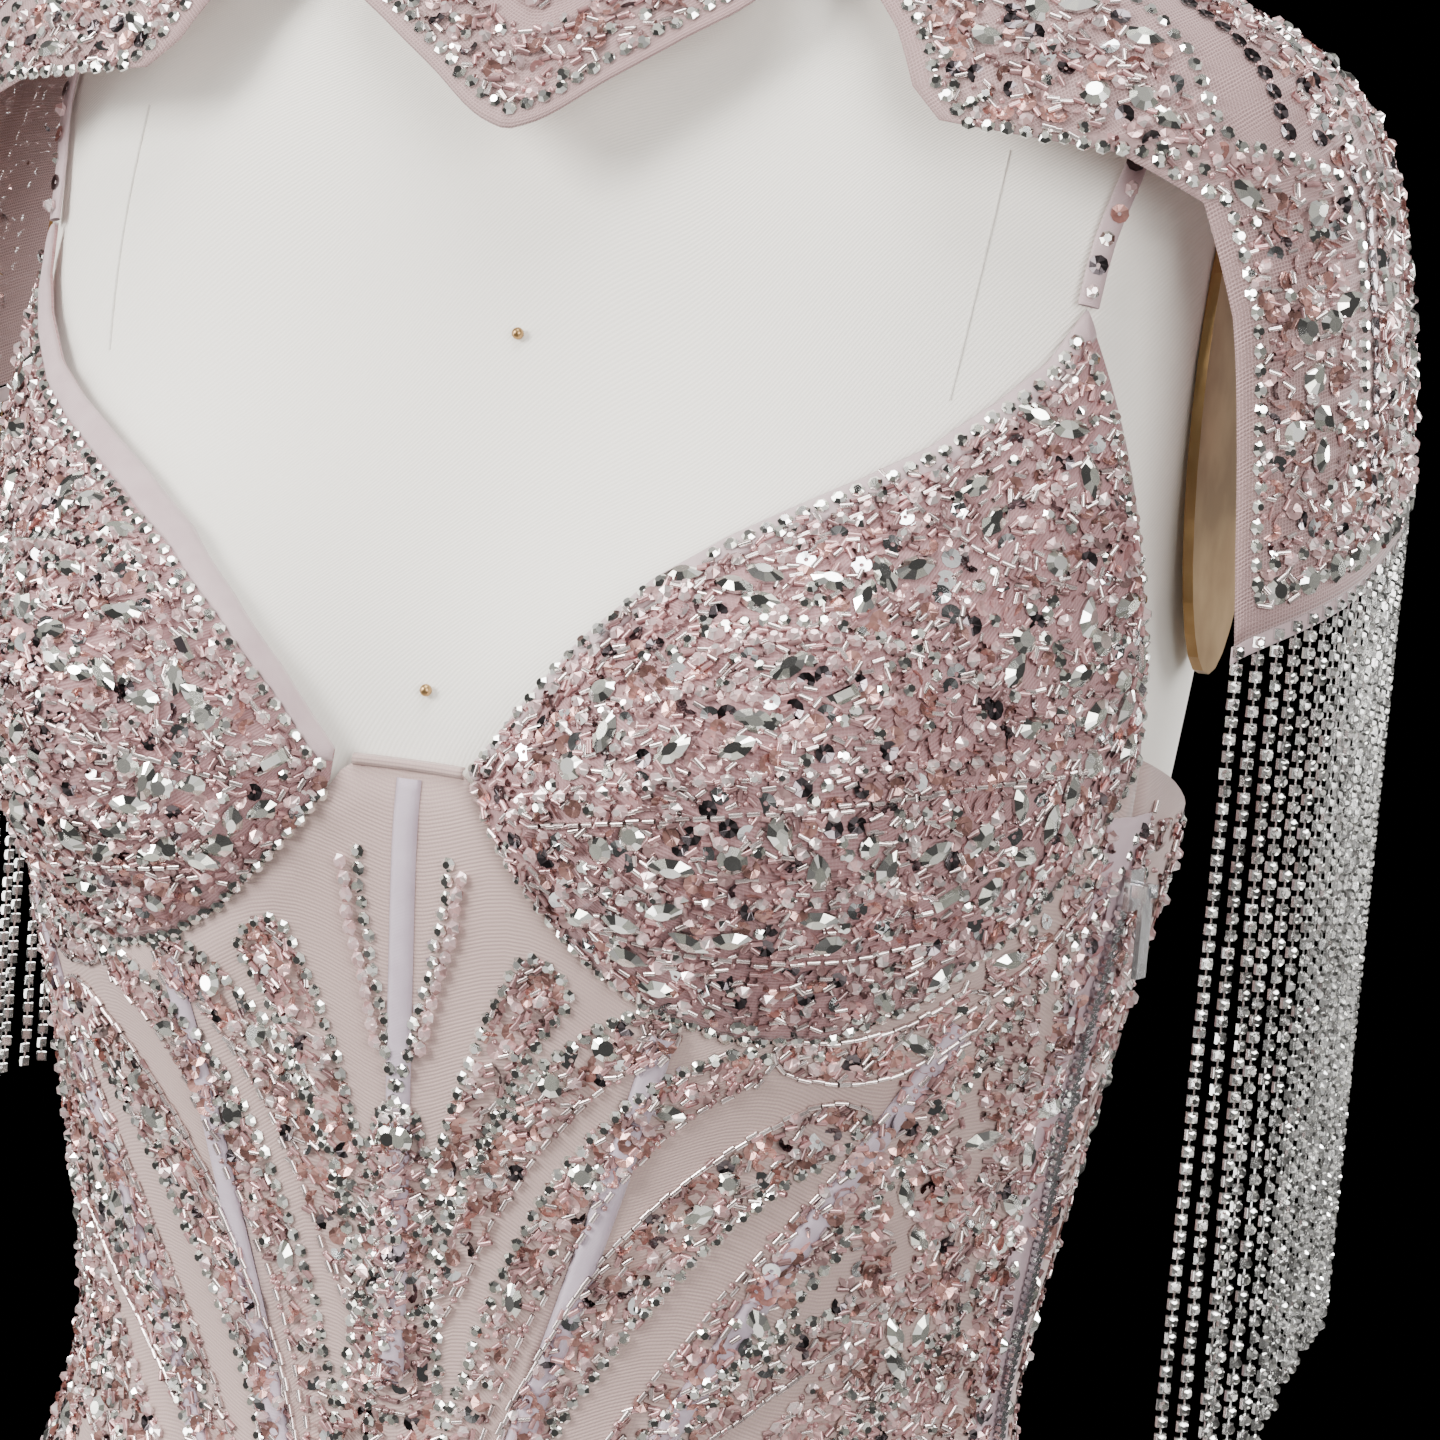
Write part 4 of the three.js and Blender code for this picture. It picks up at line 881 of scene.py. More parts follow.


# Facet looks of the cut stones, taken in turn round the crown: the bright, middle and dark looks paint
# glints, half shade and shade on the facets; setting is the silver claw.
STONE_LOOKS = ["bright", "bright", "middle", "bright", "dark", "bright", "middle"]
NAVETTE_LOOKS = ["bright", "middle", "bright", "dark", "bright", "middle"]
DROP_LOOKS = ["middle", "bright", "bright", "dark", "bright"]
BICONE = [(0.36, 0.0), (0.5, 0.4), (0.22, 0.9)]                          # radius, height
SEQUIN = [(0.5, 0.2), (0.1, 0.08)]
SQUARE = np.array([(0.5, 0.5, 0), (-0.5, 0.5, 0), (-0.5, -0.5, 0), (0.5, -0.5, 0)])
CHAIN_LOOKS = ["bright", "middle", "bright", "bright", "setting"]
TEMPLATES = {
    "stone": faceted(ring(7, 0.5, 0), 0.52, 0.22, 0.55, STONE_LOOKS),
    "round": faceted(ring(10, 0.5, 0), 0.55, 0.15, 0.42, ["bright", "middle", "dark", "bright", "middle"]),
    "navette": faceted(lens_outline(10), 0.45, 0.18, 0.5, NAVETTE_LOOKS),
    "drop": faceted(lens_outline(10, False), 0.45, 0.15, 0.42, DROP_LOOKS),
    # A baguette's smoke facet is painted shade, like its dark one.
    "baguette": faceted(SQUARE, 0.6, 0.2, 0.5, ["dark", "middle", "smoke", "bright"]),
    # Crystal facets take pale, clear and rose in turn: partly the crystals' own mixed colours, partly
    # painted light and shade that makes the facets show; the clear crystals also get a painted glint facet.
    "crystal": lathe_template(BICONE, 6, ["pale", "pale", "clear", "pale", "rose"]),
    "clear": lathe_template(BICONE, 6, ["clear", "bright", "pale", "clear"]),
    "bugle": bar_template(5, "bugle", False),
    "tube": bar_template(5, "seed", False),
    "seed": lathe_template([(0.5, 0.2), (0.26, 0.8)], 5, ["seed"]),
    "copper": lathe_template(SEQUIN, 9, ["copper"], False),
    "rose": lathe_template(SEQUIN, 9, ["rose"], False),
    "mirror": lathe_template([(0.5, 0.14), (0.12, 0.12)], 11, ["mirror"], False),
    "smoke": lathe_template([(0.5, 0.18), (0.1, 0.08)], 9, ["smoke"], False),
    "hexagon": lathe_template([(0.5, 0.1), (0.34, 0.2), (0.12, 0.08)], 6, ["mirror"], False),
    "cup": faceted(SQUARE * [0.9, 0.9, 1], 0.98, 0.5, 0.6, ["setting"]),
    "strass": faceted(ring(6, 0.5, 0), 0.55, 0.4, 0.9, CHAIN_LOOKS),
    "link": bar_template(3, "setting"),
}
# Real size of each kind, in millimetres: length, width, height
BEAD_SIZES = {
    "stone": (3.7, 3.7, 2.7), "round": (6.8, 6.8, 4.4), "navette": (10.4, 5.5, 4.6), "drop": (9.6, 6.4, 4.8),
    "baguette": (7.6, 3.4, 3.2), "crystal": (4.3, 3.4, 3.0), "clear": (3.8, 3.3, 3.0),
    "bugle": (3.0, 1.45, 1.45), "tube": (2.9, 1.5, 1.5), "seed": (1.7, 1.7, 1.5),
    "copper": (4.6, 4.6, 3.6), "rose": (4.2, 4.2, 3.2),
    "mirror": (4.8, 4.8, 2.4), "smoke": (4.6, 4.6, 3.4), "hexagon": (4.6, 4.6, 3.0), "cup": (2.8, 2.9, 1.8),
    "strass": (2.5, 2.5, 1.5), "link": (1.9, 0.55, 0.55),
}
SMOOTH_KINDS = ("seed", "bugle", "tube")


CELL = 6                     # side of the cells in which neighbours are looked for
MIRROR_REACH = 5             # a mirrored bead without a surface this near is left out
KEEP_OFF = 3
NEIGHBOURS = [(i, j, k) for i in (-1, 0, 1) for j in (-1, 0, 1) for k in (-1, 0, 1)]


class Beading:
    """Beads of one region: where each lies, and what is already taken."""

    def __init__(self, name):
        self.name = name
        self.cells = {}
        self.placed = {}

    def is_free(self, place, reach):
        key = np.floor(place / CELL).astype(int).tolist()
        for i, j, k in NEIGHBOURS:
            for other, other_reach in self.cells.get((key[0] + i, key[1] + j, key[2] + k), ()):
                gap = reach + other_reach
                d = place - other
                if d[0] * d[0] + d[1] * d[1] + d[2] * d[2] < gap * gap:
                    return False
        return True

    def put(self, kind, place, normal, along, scale=1.0, tilt=0.0, crowd=0.8):
        """Adds a bead unless its place is taken; crowd is how much of its width it keeps clear."""
        length, width, _ = BEAD_SIZES[kind]
        reach = crowd * scale * (0.25 * length + 0.25 * width)
        if crowd > 0 and not self.is_free(place, reach):
            return
        if tilt > 0:
            normal = normal + rng.normal(0, tilt, 3)
            normal = normal / np.linalg.norm(normal)
        along = along - normal * (along @ normal)
        size = np.linalg.norm(along)
        along = along / size if size > 1e-6 else np.cross(normal, [0.1, 0.9, 0.3])
        key = tuple(np.floor(place / CELL).astype(int).tolist())
        self.cells.setdefault(key, []).append((place, reach))
        self.placed.setdefault(kind, []).append((place, normal, along, scale))

    def mirror(self, trees, names, keep_off):
        """Copies the beads to the other side's surfaces, but not near the surface that they keep off."""
        copy = Beading(self.name.replace("left", "right"))
        for kind, rows in self.placed.items():
            for place, normal, along, scale in rows:
                flipped = place * [-1, 1, 1]
                found = min((trees[name].find_nearest(Vector(flipped)) for name in names),
                            key=lambda hit: hit[3] if hit[0] is not None else 1e9)
                if found[0] is None or found[3] > MIRROR_REACH:
                    continue
                if keep_off.find_nearest(found[0])[3] < KEEP_OFF:
                    continue
                copy.put(kind, np.array(found[0]), np.array(found[1]), along * [-1, 1, 1], scale, crowd=0)
        return copy

    def build(self, slot="beaded_tulle"):
        made = []
        for smooth in (False, True):
            kinds = [kind for kind in self.placed if (kind in SMOOTH_KINDS) == smooth]
            if kinds:
                made.append(self.build_kinds(kinds, smooth))
        return made

    def build_kinds(self, kinds, smooth):
        looks = sorted({look for kind in kinds for look in TEMPLATES[kind][2]})
        points, corners, sizes, indices, base = [], [], [], [], 0
        for kind in kinds:
            shape, faces, face_looks = TEMPLATES[kind]
            rows = self.placed[kind]
            place, normal, along = (np.array([row[i] for row in rows]) for i in range(3))
            scale = np.array([row[3] for row in rows])[:, None, None]
            aside = np.cross(normal, along)
            local = shape[None] * np.array(BEAD_SIZES[kind])[None, None] * scale
            world = place[:, None] + local[..., :1] * along[:, None] + local[..., 1:2] * aside[:, None] \
                + local[..., 2:] * normal[:, None]
            points.append(world.reshape(-1, 3))
            flat = np.concatenate([np.array(face) for face in faces])
            start = base + len(shape) * np.arange(len(rows))[:, None]
            corners.append((flat[None] + start).ravel())
            sizes.append(np.tile([len(face) for face in faces], len(rows)))
            # Each bead's facet looks are turned round by a random step, so the painted glints and shade fall
            # on different facets from bead to bead.
            shift = rng.integers(0, 97, len(rows))[:, None]
            order = np.array([looks.index(look) for look in face_looks])
            cut = np.array([look != "setting" for look in face_looks])
            turned = np.tile(order, (len(rows), 1))
            if cut.sum() > 1 and len(set(face_looks)) > 1:
                spots = np.flatnonzero(cut)
                turned[:, spots] = order[spots[(np.arange(len(spots))[None] + shift) % len(spots)]]
            indices.append(turned.ravel())
            base += len(shape) * len(rows)
        made = joined_mesh(f"{self.name}_{'smooth' if smooth else 'cut'}", np.concatenate(points),
                           np.concatenate(corners), np.concatenate(sizes),
                           [FINISHES_AND_PAINTED_FACET_LIGHT[look] for look in looks], np.concatenate(indices), smooth)
        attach(made, DRESS_BODY)
        return made


# Zip

ZIP_TOP, ZIP_BOTTOM = 1243, 935
ZIP_WIDTH = 24
ZIP_TAPE_LIFT = (1.8, 2.7)
ZIP_TEETH_LIFT = (3.0, 4.6)
ZIP_TEETH_TOP = 1220.7
ZIP_TEETH_START = 3          # from the tape's lower end to the first tooth
TOOTH_PITCH = 2.0
TOOTH_SIZE = (2.9, 1.25)     # across and along the zip
TOOTH_OUT = 0.75             # from the zip's middle to a tooth's middle
TOOTH_SHAPE = [(-0.5, -0.5), (0.32, -0.5), (0.5, -0.3), (0.5, 0.3), (0.32, 0.5), (-0.5, 0.5)]


def side_angle(z):
    return np.radians(table_curve(SIDE_SEAM)(z))


def add_zip():
    u = np.linspace(-0.5, 0.5, 13)[None, :]
    z = np.linspace(ZIP_BOTTOM, ZIP_TOP, 110)[:, None]
    angle = side_angle(z) + u * ZIP_WIDTH / body_radius(side_angle(z), z)
    ridge = ZIP_TAPE_LIFT[1] - 0.5 + 0.5 * np.exp(-(u * ZIP_WIDTH / 2.5) ** 2)
    tape = lifted(body_radius, angle, z, ridge + 0 * z)
    cloth("cloth_zip_tape", tape, "zip_tape", 0.4, "zip_tape")
    heights = np.arange(ZIP_BOTTOM + ZIP_TEETH_START, ZIP_TEETH_TOP, TOOTH_PITCH)
    middle = side_angle(heights)
    place = surface_point(body_radius, middle, heights)
    out = surface_normal(body_radius, middle, heights)
    along = directions(place)
    side = np.cross(along, out)
    points, faces = [], []
    for half in (-1, 1):
        for p, n, a, s in zip(place, out, along, side):
            centre = p + a * (TOOTH_PITCH / 2 if half > 0 else 0) + s * half * TOOTH_OUT
            base = len(points)
            for lift in ZIP_TEETH_LIFT:
                points += [centre - s * half * x * TOOTH_SIZE[0] + a * y * TOOTH_SIZE[1] + n * lift
                           for x, y in TOOTH_SHAPE]
            faces += [(base + k, base + (k + 1) % 6, base + 6 + (k + 1) % 6, base + 6 + k) for k in range(6)]
            faces += [tuple(base + 5 - k for k in range(6)), tuple(base + 6 + k for k in range(6))]
    teeth = mesh_object("zip_teeth", points, faces, MATERIALS["nickel"], smooth=False)
    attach(teeth, DRESS_BODY)
    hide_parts("zip_coil")
    finish_node("zip_slider", "nickel")
    finish_node("zip_pull", "nickel")


# Chain fringe

def hem_place(sign, share):
    low, front, back = SHOULDER_ROWS[0]
    return sign * np.radians(front + (back - front) * share), low + CAP_RISE * share ** CAP_RISE_POWER


def add_fringe(side, sign):
    end_at = table_curve(FRINGE_ENDS)
    chain = Beading(f"fringe_chains_{side}")
    share = (np.arange(0, FRINGE_COUNT, FRINGE_SHOWN) + 0.5) / FRINGE_COUNT
    angle, z = hem_place(sign, share)
    tops = lifted(capelet_radius, angle, z, FRINGE_OUT + 0 * z)
    outs = surface_normal(capelet_radius, angle, z) * [1, 1, 0]
    down = np.array([0.0, 0.0, -1.0])
    for top, out, low, height in zip(tops, outs, end_at(share), z):
        out = out / np.linalg.norm(out)
        swing = rng.normal(0, 1.0, 2)
        aside = np.cross(out, down)
        count = int((height - CHAIN_FREE - low) / CHAIN_PITCH)
        drop = np.arange(count + 1) / count
        lean = (drop ** 1.4)[:, None] * (swing[0] * CHAIN_SWING[0] * aside + swing[1] * CHAIN_SWING[1] * out)
        line = top[None] + lean - out * STONE_OUT
        line[:, 2] = height - CHAIN_TOP - np.arange(count + 1) * CHAIN_PITCH
        for i, place in enumerate(line):
            turned = out + aside * rng.normal(0, CHAIN_TWIST)
            turned /= np.linalg.norm(turned)
            chain.put("cup", place, turned, down, crowd=0)
            chain.put("strass", place + out * STONE_OUT, turned, down, crowd=0)
            if i:
                chain.put("link", (line[i] + line[i - 1]) / 2 + out * LINK_OUT, out, down, crowd=0)
    made = chain.build("chain")
    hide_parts(f"fringe_{side}")
    across = np.linspace(0, 1, 60)
    angle, z = hem_place(sign, across if sign > 0 else across[::-1])
    edge = lifted(capelet_radius, angle, z, FRINGE_OUT - 0.7 + 0 * z)
    heights = np.linspace(-FRINGE_TAPE - SEAM, -SEAM, 5)[:, None]
    tape = np.repeat(edge[None], 5, axis=0)
    tape[..., 2] = z[None] + heights
    cloth(f"fringe_tape_{side}", tape, "binding", 0.5, f"fringe_{side}")


# Where the beads go

def frames_on(points_of, u, v):
    """Places on a surface, with normals, the way along u, and the area that a step of u and v covers."""
    step = 0.004
    place = points_of(u, v)
    along = (points_of(u + step, v) - points_of(u - step, v)) / (2 * step)
    upward = (points_of(u, v + step) - points_of(u, v - step)) / (2 * step)
    out = np.cross(along, upward)
    area = np.linalg.norm(out, axis=-1)
    return place, out / area[:, None], along / np.linalg.norm(along, axis=-1, keepdims=True), area


def outward(normal, place):
    """Turns normals away from the body's axis."""
    flip = np.sign((normal[:, :2] * place[:, :2]).sum(-1))
    return normal * np.where(flip == 0, 1, flip)[:, None]


# Mixes of beads: kind, how many are tried on a square of 10 mm, how much room each keeps, how far it tilts
CUP_MIX = [
    ("navette", 0.34, 0.9, 0.12), ("drop", 0.16, 0.9, 0.15), ("round", 0.10, 0.9, 0.15),
    ("baguette", 0.05, 0.9, 0.1), ("mirror", 0.55, 0.75, 0.35), ("smoke", 0.7, 0.7, 0.35),
    ("hexagon", 0.2, 0.7, 0.3), ("copper", 2.0, 0.6, 0.45), ("rose", 2.2, 0.6, 0.45),
    ("stone", 2.2, 0.8, 0.12), ("crystal", 2.2, 0.7, 0.2), ("clear", 2.0, 0.7, 0.2),
    ("bugle", 10.0, 0.6, 0.25), ("tube", 14.0, 0.5, 0.3), ("seed", 14.0, 0.7, 0.1),
]
BAND_MIX = [
    ("navette", 0.2, 0.9, 0.12), ("round", 0.14, 0.9, 0.15), ("mirror", 0.5, 0.75, 0.35),
    ("smoke", 0.6, 0.7, 0.35), ("copper", 3.6, 0.55, 0.45), ("rose", 3.6, 0.55, 0.45),
    ("stone", 2.2, 0.8, 0.12), ("crystal", 2.6, 0.65, 0.2), ("clear", 1.4, 0.7, 0.2),
    ("bugle", 8.0, 0.6, 0.25), ("tube", 14.0, 0.5, 0.3), ("seed", 10.0, 0.7, 0.1),
]
CAPELET_MIX = [
    ("navette", 0.12, 0.9, 0.12), ("drop", 0.1, 0.9, 0.15), ("round", 0.08, 0.9, 0.15),
    ("mirror", 0.3, 0.75, 0.35), ("smoke", 0.45, 0.7, 0.35), ("copper", 1.5, 0.6, 0.4),
    ("rose", 1.3, 0.6, 0.4), ("stone", 1.5, 0.8, 0.12), ("crystal", 1.3, 0.7, 0.2),
    ("clear", 1.2, 0.7, 0.2), ("bugle", 6.0, 0.65, 0.25), ("tube", 6.0, 0.6, 0.3),
    ("seed", 5.0, 0.8, 0.1),
]
SKIRT_MIX = [
    ("mirror", 0.05, 0.75, 0.3), ("copper", 0.25, 0.62, 0.4), ("rose", 0.2, 0.62, 0.4),
    ("stone", 0.16, 0.8, 0.1), ("crystal", 0.12, 0.7, 0.2), ("bugle", 0.5, 0.75, 0.2),
]


def fill(beading, points_of, mix, keep, spans=((0, 1), (0, 1)), density=1.0):
    """Scatters a mix of beads over a surface, where keep(u, v, place) allows it."""
    (u_low, u_high), (v_low, v_high) = spans
    grid_u, grid_v = np.meshgrid(np.linspace(u_low, u_high, 40), np.linspace(v_low, v_high, 40))
    cells = frames_on(points_of, grid_u.ravel(), grid_v.ravel())[3]
    whole = cells.mean() * (u_high - u_low) * (v_high - v_low)
    most = np.percentile(cells, 98)
    for kind, per_square, crowd, tilt in mix:
        tries = int(rng.poisson(per_square * density * whole / 100) * most / cells.mean())
        if not tries:
            continue
        u, v = rng.uniform(u_low, u_high, tries), rng.uniform(v_low, v_high, tries)
        place, normal, along, area = frames_on(points_of, u, v)
        normal = outward(normal, place)
        wanted = (rng.uniform(0, most, tries) < area) & keep(u, v, place)
        turns = rng.normal(0, 0.6, tries)
        for i in np.flatnonzero(wanted):
            aside = np.cross(normal[i], along[i])
            way = along[i] * math.cos(turns[i]) + aside * math.sin(turns[i])
            beading.put(kind, place[i], normal[i], way, rng.uniform(0.88, 1.08), tilt, crowd=crowd)


def row(beading, line, normals, kinds, pitch, crowd=0.5, wander=0.25):
    """Beads at even steps along a line; kinds are taken in turn."""
    reach = np.concatenate([[0], np.cumsum(np.linalg.norm(np.diff(line, axis=0), axis=1))])
    spots = np.arange(pitch / 2, reach[-1], pitch)
    places, outs = (np.stack([np.interp(spots, reach, part[:, axis]) for axis in range(3)], -1)
                    for part in (line, normals))
    ways = np.stack([np.interp(spots, reach, np.gradient(line[:, axis])) for axis in range(3)], -1)
    for i, (place, out, way) in enumerate(zip(places, outs, ways)):
        out = out / np.linalg.norm(out)
        aside = np.cross(out, way / max(np.linalg.norm(way), 1e-9))
        beading.put(kinds[i % len(kinds)], place + aside * rng.normal(0, wander), out, way,
                    rng.uniform(0.94, 1.06), 0.06, crowd=crowd)


def surface_row(beading, points_of, u, v, kinds, pitch, **how):
    place, normal, _, _ = frames_on(points_of, u, v)
    row(beading, place, outward(normal, place), kinds, pitch, **how)


def photo_row(beading, pixels, tree, kinds, pitch, **how):
    line = photo_line(pixels, tree)
    if len(line) < 2:
        return
    normals = np.array([tree.find_nearest(Vector(place))[1] for place in line])
    row(beading, line, outward(normals, line), kinds, pitch, **how)


PIXELS_PER_MM = 3.9
ROUND_END = 12               # how soon a band's rounded end reaches the band's width


class Band:
    """A leaf-shaped band: a curve through three pixels of the photograph, with its width at each of them."""

    def __init__(self, start, middle, end, widths):
        self.line = bent(start, middle, end)
        t = np.linspace(0, 1, len(self.line))
        ends = np.minimum(1, np.sqrt(ROUND_END * np.minimum(t, 1 - t)))
        self.width = np.interp(t, [0, 0.5, 1], widths) * ends
        along = directions(self.line)
        self.side = np.stack([along[:, 1], -along[:, 0]], -1)
        self.length = np.linalg.norm(np.diff(self.line, axis=0), axis=1).sum()

    def border(self, sign):
        return self.line + self.side * sign * self.width[:, None] / 2

    def fill(self, beading, tree, mix):
        area = self.length * self.width.mean() / PIXELS_PER_MM ** 2
        spots = np.arange(len(self.line))
        chance = self.width / self.width.sum()
        for kind, per_square, crowd, tilt in mix:
            for i in rng.choice(spots, rng.poisson(per_square * area / 100), p=chance):
                off = self.side[i] * rng.uniform(-0.5, 0.5) * self.width[i]
                hit = photo_point(self.line[i] + off + rng.uniform(-4, 4, 2), tree)
                if hit is None:
                    continue
                place, normal = hit
                normal = outward(normal[None], place[None])[0]
                way = rng.normal(0, 1, 3)
                if kind in SMOOTH_KINDS:
                    way = np.array([0.75, 0, 0.65]) + rng.normal(0, 0.35, 3)
                beading.put(kind, place, normal, way, rng.uniform(0.88, 1.08), tilt, crowd=crowd)


# Beading of the cups. Lines and clusters are pixels of the photograph, on the wearer's left.
CUP_LINES = [                                       # kinds, pitch, and a curve through three pixels
    (["stone"], 4.4, (664, 656), (786, 621), (948, 664)),
    (["crystal"], 4.4, (690, 664), (790, 638), (905, 656)),
    (["clear", "seed"], 3.0, (520, 800), (790, 776), (1080, 752)),
    (["bugle"], 4.0, (530, 825), (800, 810), (1090, 770)),
    (["clear", "seed"], 3.0, (560, 880), (780, 900), (1010, 860)),
    (["bugle"], 4.0, (600, 930), (770, 962), (920, 940)),
    (["clear", "seed"], 3.0, (560, 730), (680, 696), (800, 690)),
    (["bugle"], 4.0, (880, 470), (970, 545), (1080, 590)),
    (["clear", "seed"], 3.0, (1010, 420), (1045, 475), (1080, 520)),
]
CUP_CLUSTERS = [                                    # kind, count, left, top, right, bottom
    ("navette", 14, 680, 572, 890, 606), ("navette", 8, 600, 700, 760, 760),
    ("navette", 9, 930, 760, 1100, 860), ("navette", 8, 560, 900, 760, 950),
    ("navette", 5, 1000, 400, 1090, 520), ("round", 6, 860, 560, 1110, 660),
    ("round", 6, 560, 740, 760, 860), ("mirror", 9, 830, 540, 960, 620),
    ("smoke", 12, 640, 740, 900, 830), ("drop", 8, 640, 830, 960, 900),
    ("baguette", 3, 1135, 640, 1160, 760), ("stone", 26, 800, 600, 1080, 900),
]

CUP_INSET = {"left": 3.2, "right": 8.0}             # from the neckline to its stones
CUP_PITCH = {"neck": 4.5, "low": 4.1, "side": 4.8, "second": 3.2}
SECOND_ROW = 4.6                                    # from the neckline's stones to the row beside them
CUP_SPAN = (0.012, 0.985)                           # where the rows begin and end along a cup


def border_share(sign, u, inset):
    """How far up a cup's height a line lies that runs at a distance from its neckline."""
    height = np.linalg.norm(cup_points(sign, u, 1 + 0 * u, 0) - cup_points(sign, u, 0 * u, 0), axis=-1)
    return 1 - np.minimum(0.45, inset / np.maximum(height, 1))


def add_cup_beads(trees):
    detail = Beading("cup_detail_left")
    for kinds, pitch, start, middle, end in CUP_LINES:
        photo_row(detail, bent(start, middle, end), trees["left"], kinds, pitch)
    for kind, count, left, top, right, bottom in CUP_CLUSTERS:
        for x, y in zip(rng.uniform(left, right, count), rng.uniform(top, bottom, count)):
            hit = photo_point((x, y), trees["left"])
            if hit is not None:
                detail.put(kind, hit[0], hit[1], rng.normal(0, 1, 3) * [1, 0.3, 0.6], 1.0, 0.1)
    copied = detail.mirror(trees, ["right"], trees["binding_right"])
    for side, sign, beads in (("left", 1, detail), ("right", -1, copied)):
        beads.name = f"cup_beads_{side}"
        inset = CUP_INSET[side]

        def points_of(u, v):
            over = v > border_share(sign, u, BINDING_WIDTH)
            lift = CUP_LIFT - BEAD_SINK + np.where(over, BINDING_LIFT - CUP_LIFT, 0)
            return cup_points(sign, u, v, lift)
        u = np.linspace(*CUP_SPAN, 120)
        edge = border_share(sign, u, inset)
        surface_row(beads, points_of, u, edge, ["stone"], CUP_PITCH["neck"], crowd=0.6)
        low_u = np.linspace(0.015, CUP_SPAN[1], 120)
        surface_row(beads, points_of, low_u, np.full(120, 0.004), ["stone"], CUP_PITCH["low"], crowd=0.6)
        v = np.linspace(0.05, 0.94, 60)
        surface_row(beads, points_of, np.full(60, 0.982), v, ["stone"], CUP_PITCH["side"], crowd=0.6)
        beside = border_share(sign, u, inset + SECOND_ROW)
        kinds = ["crystal", "seed", "clear", "bugle"]
        surface_row(beads, points_of, u, beside, kinds, CUP_PITCH["second"], crowd=0.7)

        def keep(u, v, place):
            return (v < border_share(sign, u, inset + 1.5)) & (v > 0.03)
        fill(beads, points_of, CUP_MIX, keep, ((0.01, 0.985), (0.02, 0.99)))
        beads.build()


# Beading of the body, on the wearer's left: leaf-shaped bands that run down to the centre front.
# Start, middle and end of each in pixels of the photograph, its widths there, and its two borders.
BODY_BANDS = [
    ((556, 972), (497, 1062), (420, 1245), (66, 50, 24), ["stone"], ["stone"]),
    ((680, 1034), (540, 1112), (432, 1330), (52, 54, 26), ["stone"], ["bugle", "seed"]),
    ((775, 1062), (575, 1200), (432, 1540), (34, 54, 30), ["stone"], ["bugle", "seed"]),
    ((870, 1112), (630, 1280), (462, 1580), (54, 66, 34), ["bugle"], ["stone"]),
    ((988, 1032), (752, 1310), (490, 1620), (32, 64, 44), ["bugle", "seed"], ["stone"]),
    ((1052, 1066), (890, 1350), (560, 1650), (34, 72, 50), ["clear", "seed"], ["stone"]),
    ((985, 992), (880, 1056), (775, 1050), (34, 46, 34), ["bugle"], ["bugle"]),
    ((850, 1322), (742, 1388), (600, 1500), (30, 50, 44), ["stone"], ["bugle"]),
    ((960, 1330), (850, 1470), (650, 1640), (34, 66, 44), ["stone"], ["bugle", "seed"]),
    ((398, 1112), (404, 1250), (400, 1640), (24, 60, 80), ["stone"], ["stone"]),
]
# Single rows beside the bands
BODY_LINES = [                                      # kinds, pitch, and a curve through three pixels
    (["stone"], 4.1, (450, 856), (437, 940), (392, 1110)),
    (["crystal"], 4.0, (463, 870), (449, 948), (420, 1055)),
    (["bugle", "seed"], 3.0, (1155, 800), (1112, 930), (1060, 1080)),
    (["stone"], 4.3, (1135, 830), (1075, 945), (980, 1050)),
    (["bugle"], 4.0, (1090, 890), (1030, 962), (950, 1020)),
]
BORDER_PITCH = {"stone": 4.2, "bugle": 3.2, "clear": 3.2}
LEAST_BEAD_HEIGHT = 925
ZIP_CLEAR = 4.6


def zip_distance(angle, z):
    """How far a place on the body lies from the zip, across it."""
    return np.abs(angle - side_angle(z)) * plain_radius(angle, z)


def body_tree():
    """Search tree of the dress's front face, with its boning channels."""
    angle = np.radians(np.linspace(-100, 100, 160))[None, :]
    z = np.linspace(LEAST_BEAD_HEIGHT - 30, 1262, 130)[:, None]
    points = lifted(body_radius, angle + 0 * z, z + 0 * angle, BEAD_BASE + 0 * z * angle)
    verts, faces = points.reshape(-1, 3).tolist(), grid_faces(130, 160).tolist()
    for _, from_x, from_z, to_x, to_z in CHANNELS:
        heights = np.linspace(to_z, from_z, 40)
        places = np.linspace(to_x, from_x, 40)
        ribbon = ribbon_points(angle_at(places, heights), heights, CHANNEL_WIDTH, [CHANNEL_LIFT] * 3)
        base = len(verts)
        verts += ribbon.reshape(-1, 3).tolist()
        faces += (grid_faces(40, 3) + base).tolist()
    return BVHTree.FromPolygons(verts, faces)


BACK_SHARE = 0.55            # share of the front's beads that the back has
FLANK = {"low": 900, "high": 1240, "from": 58, "to": 90}    # heights and angles of the side's beads
FLANK_STRIPE = {"per_degree": 0.11, "per_mm": 0.014, "cover": 0.78}


def to_other_side(vectors):
    return vectors * [-1, 1, 1]


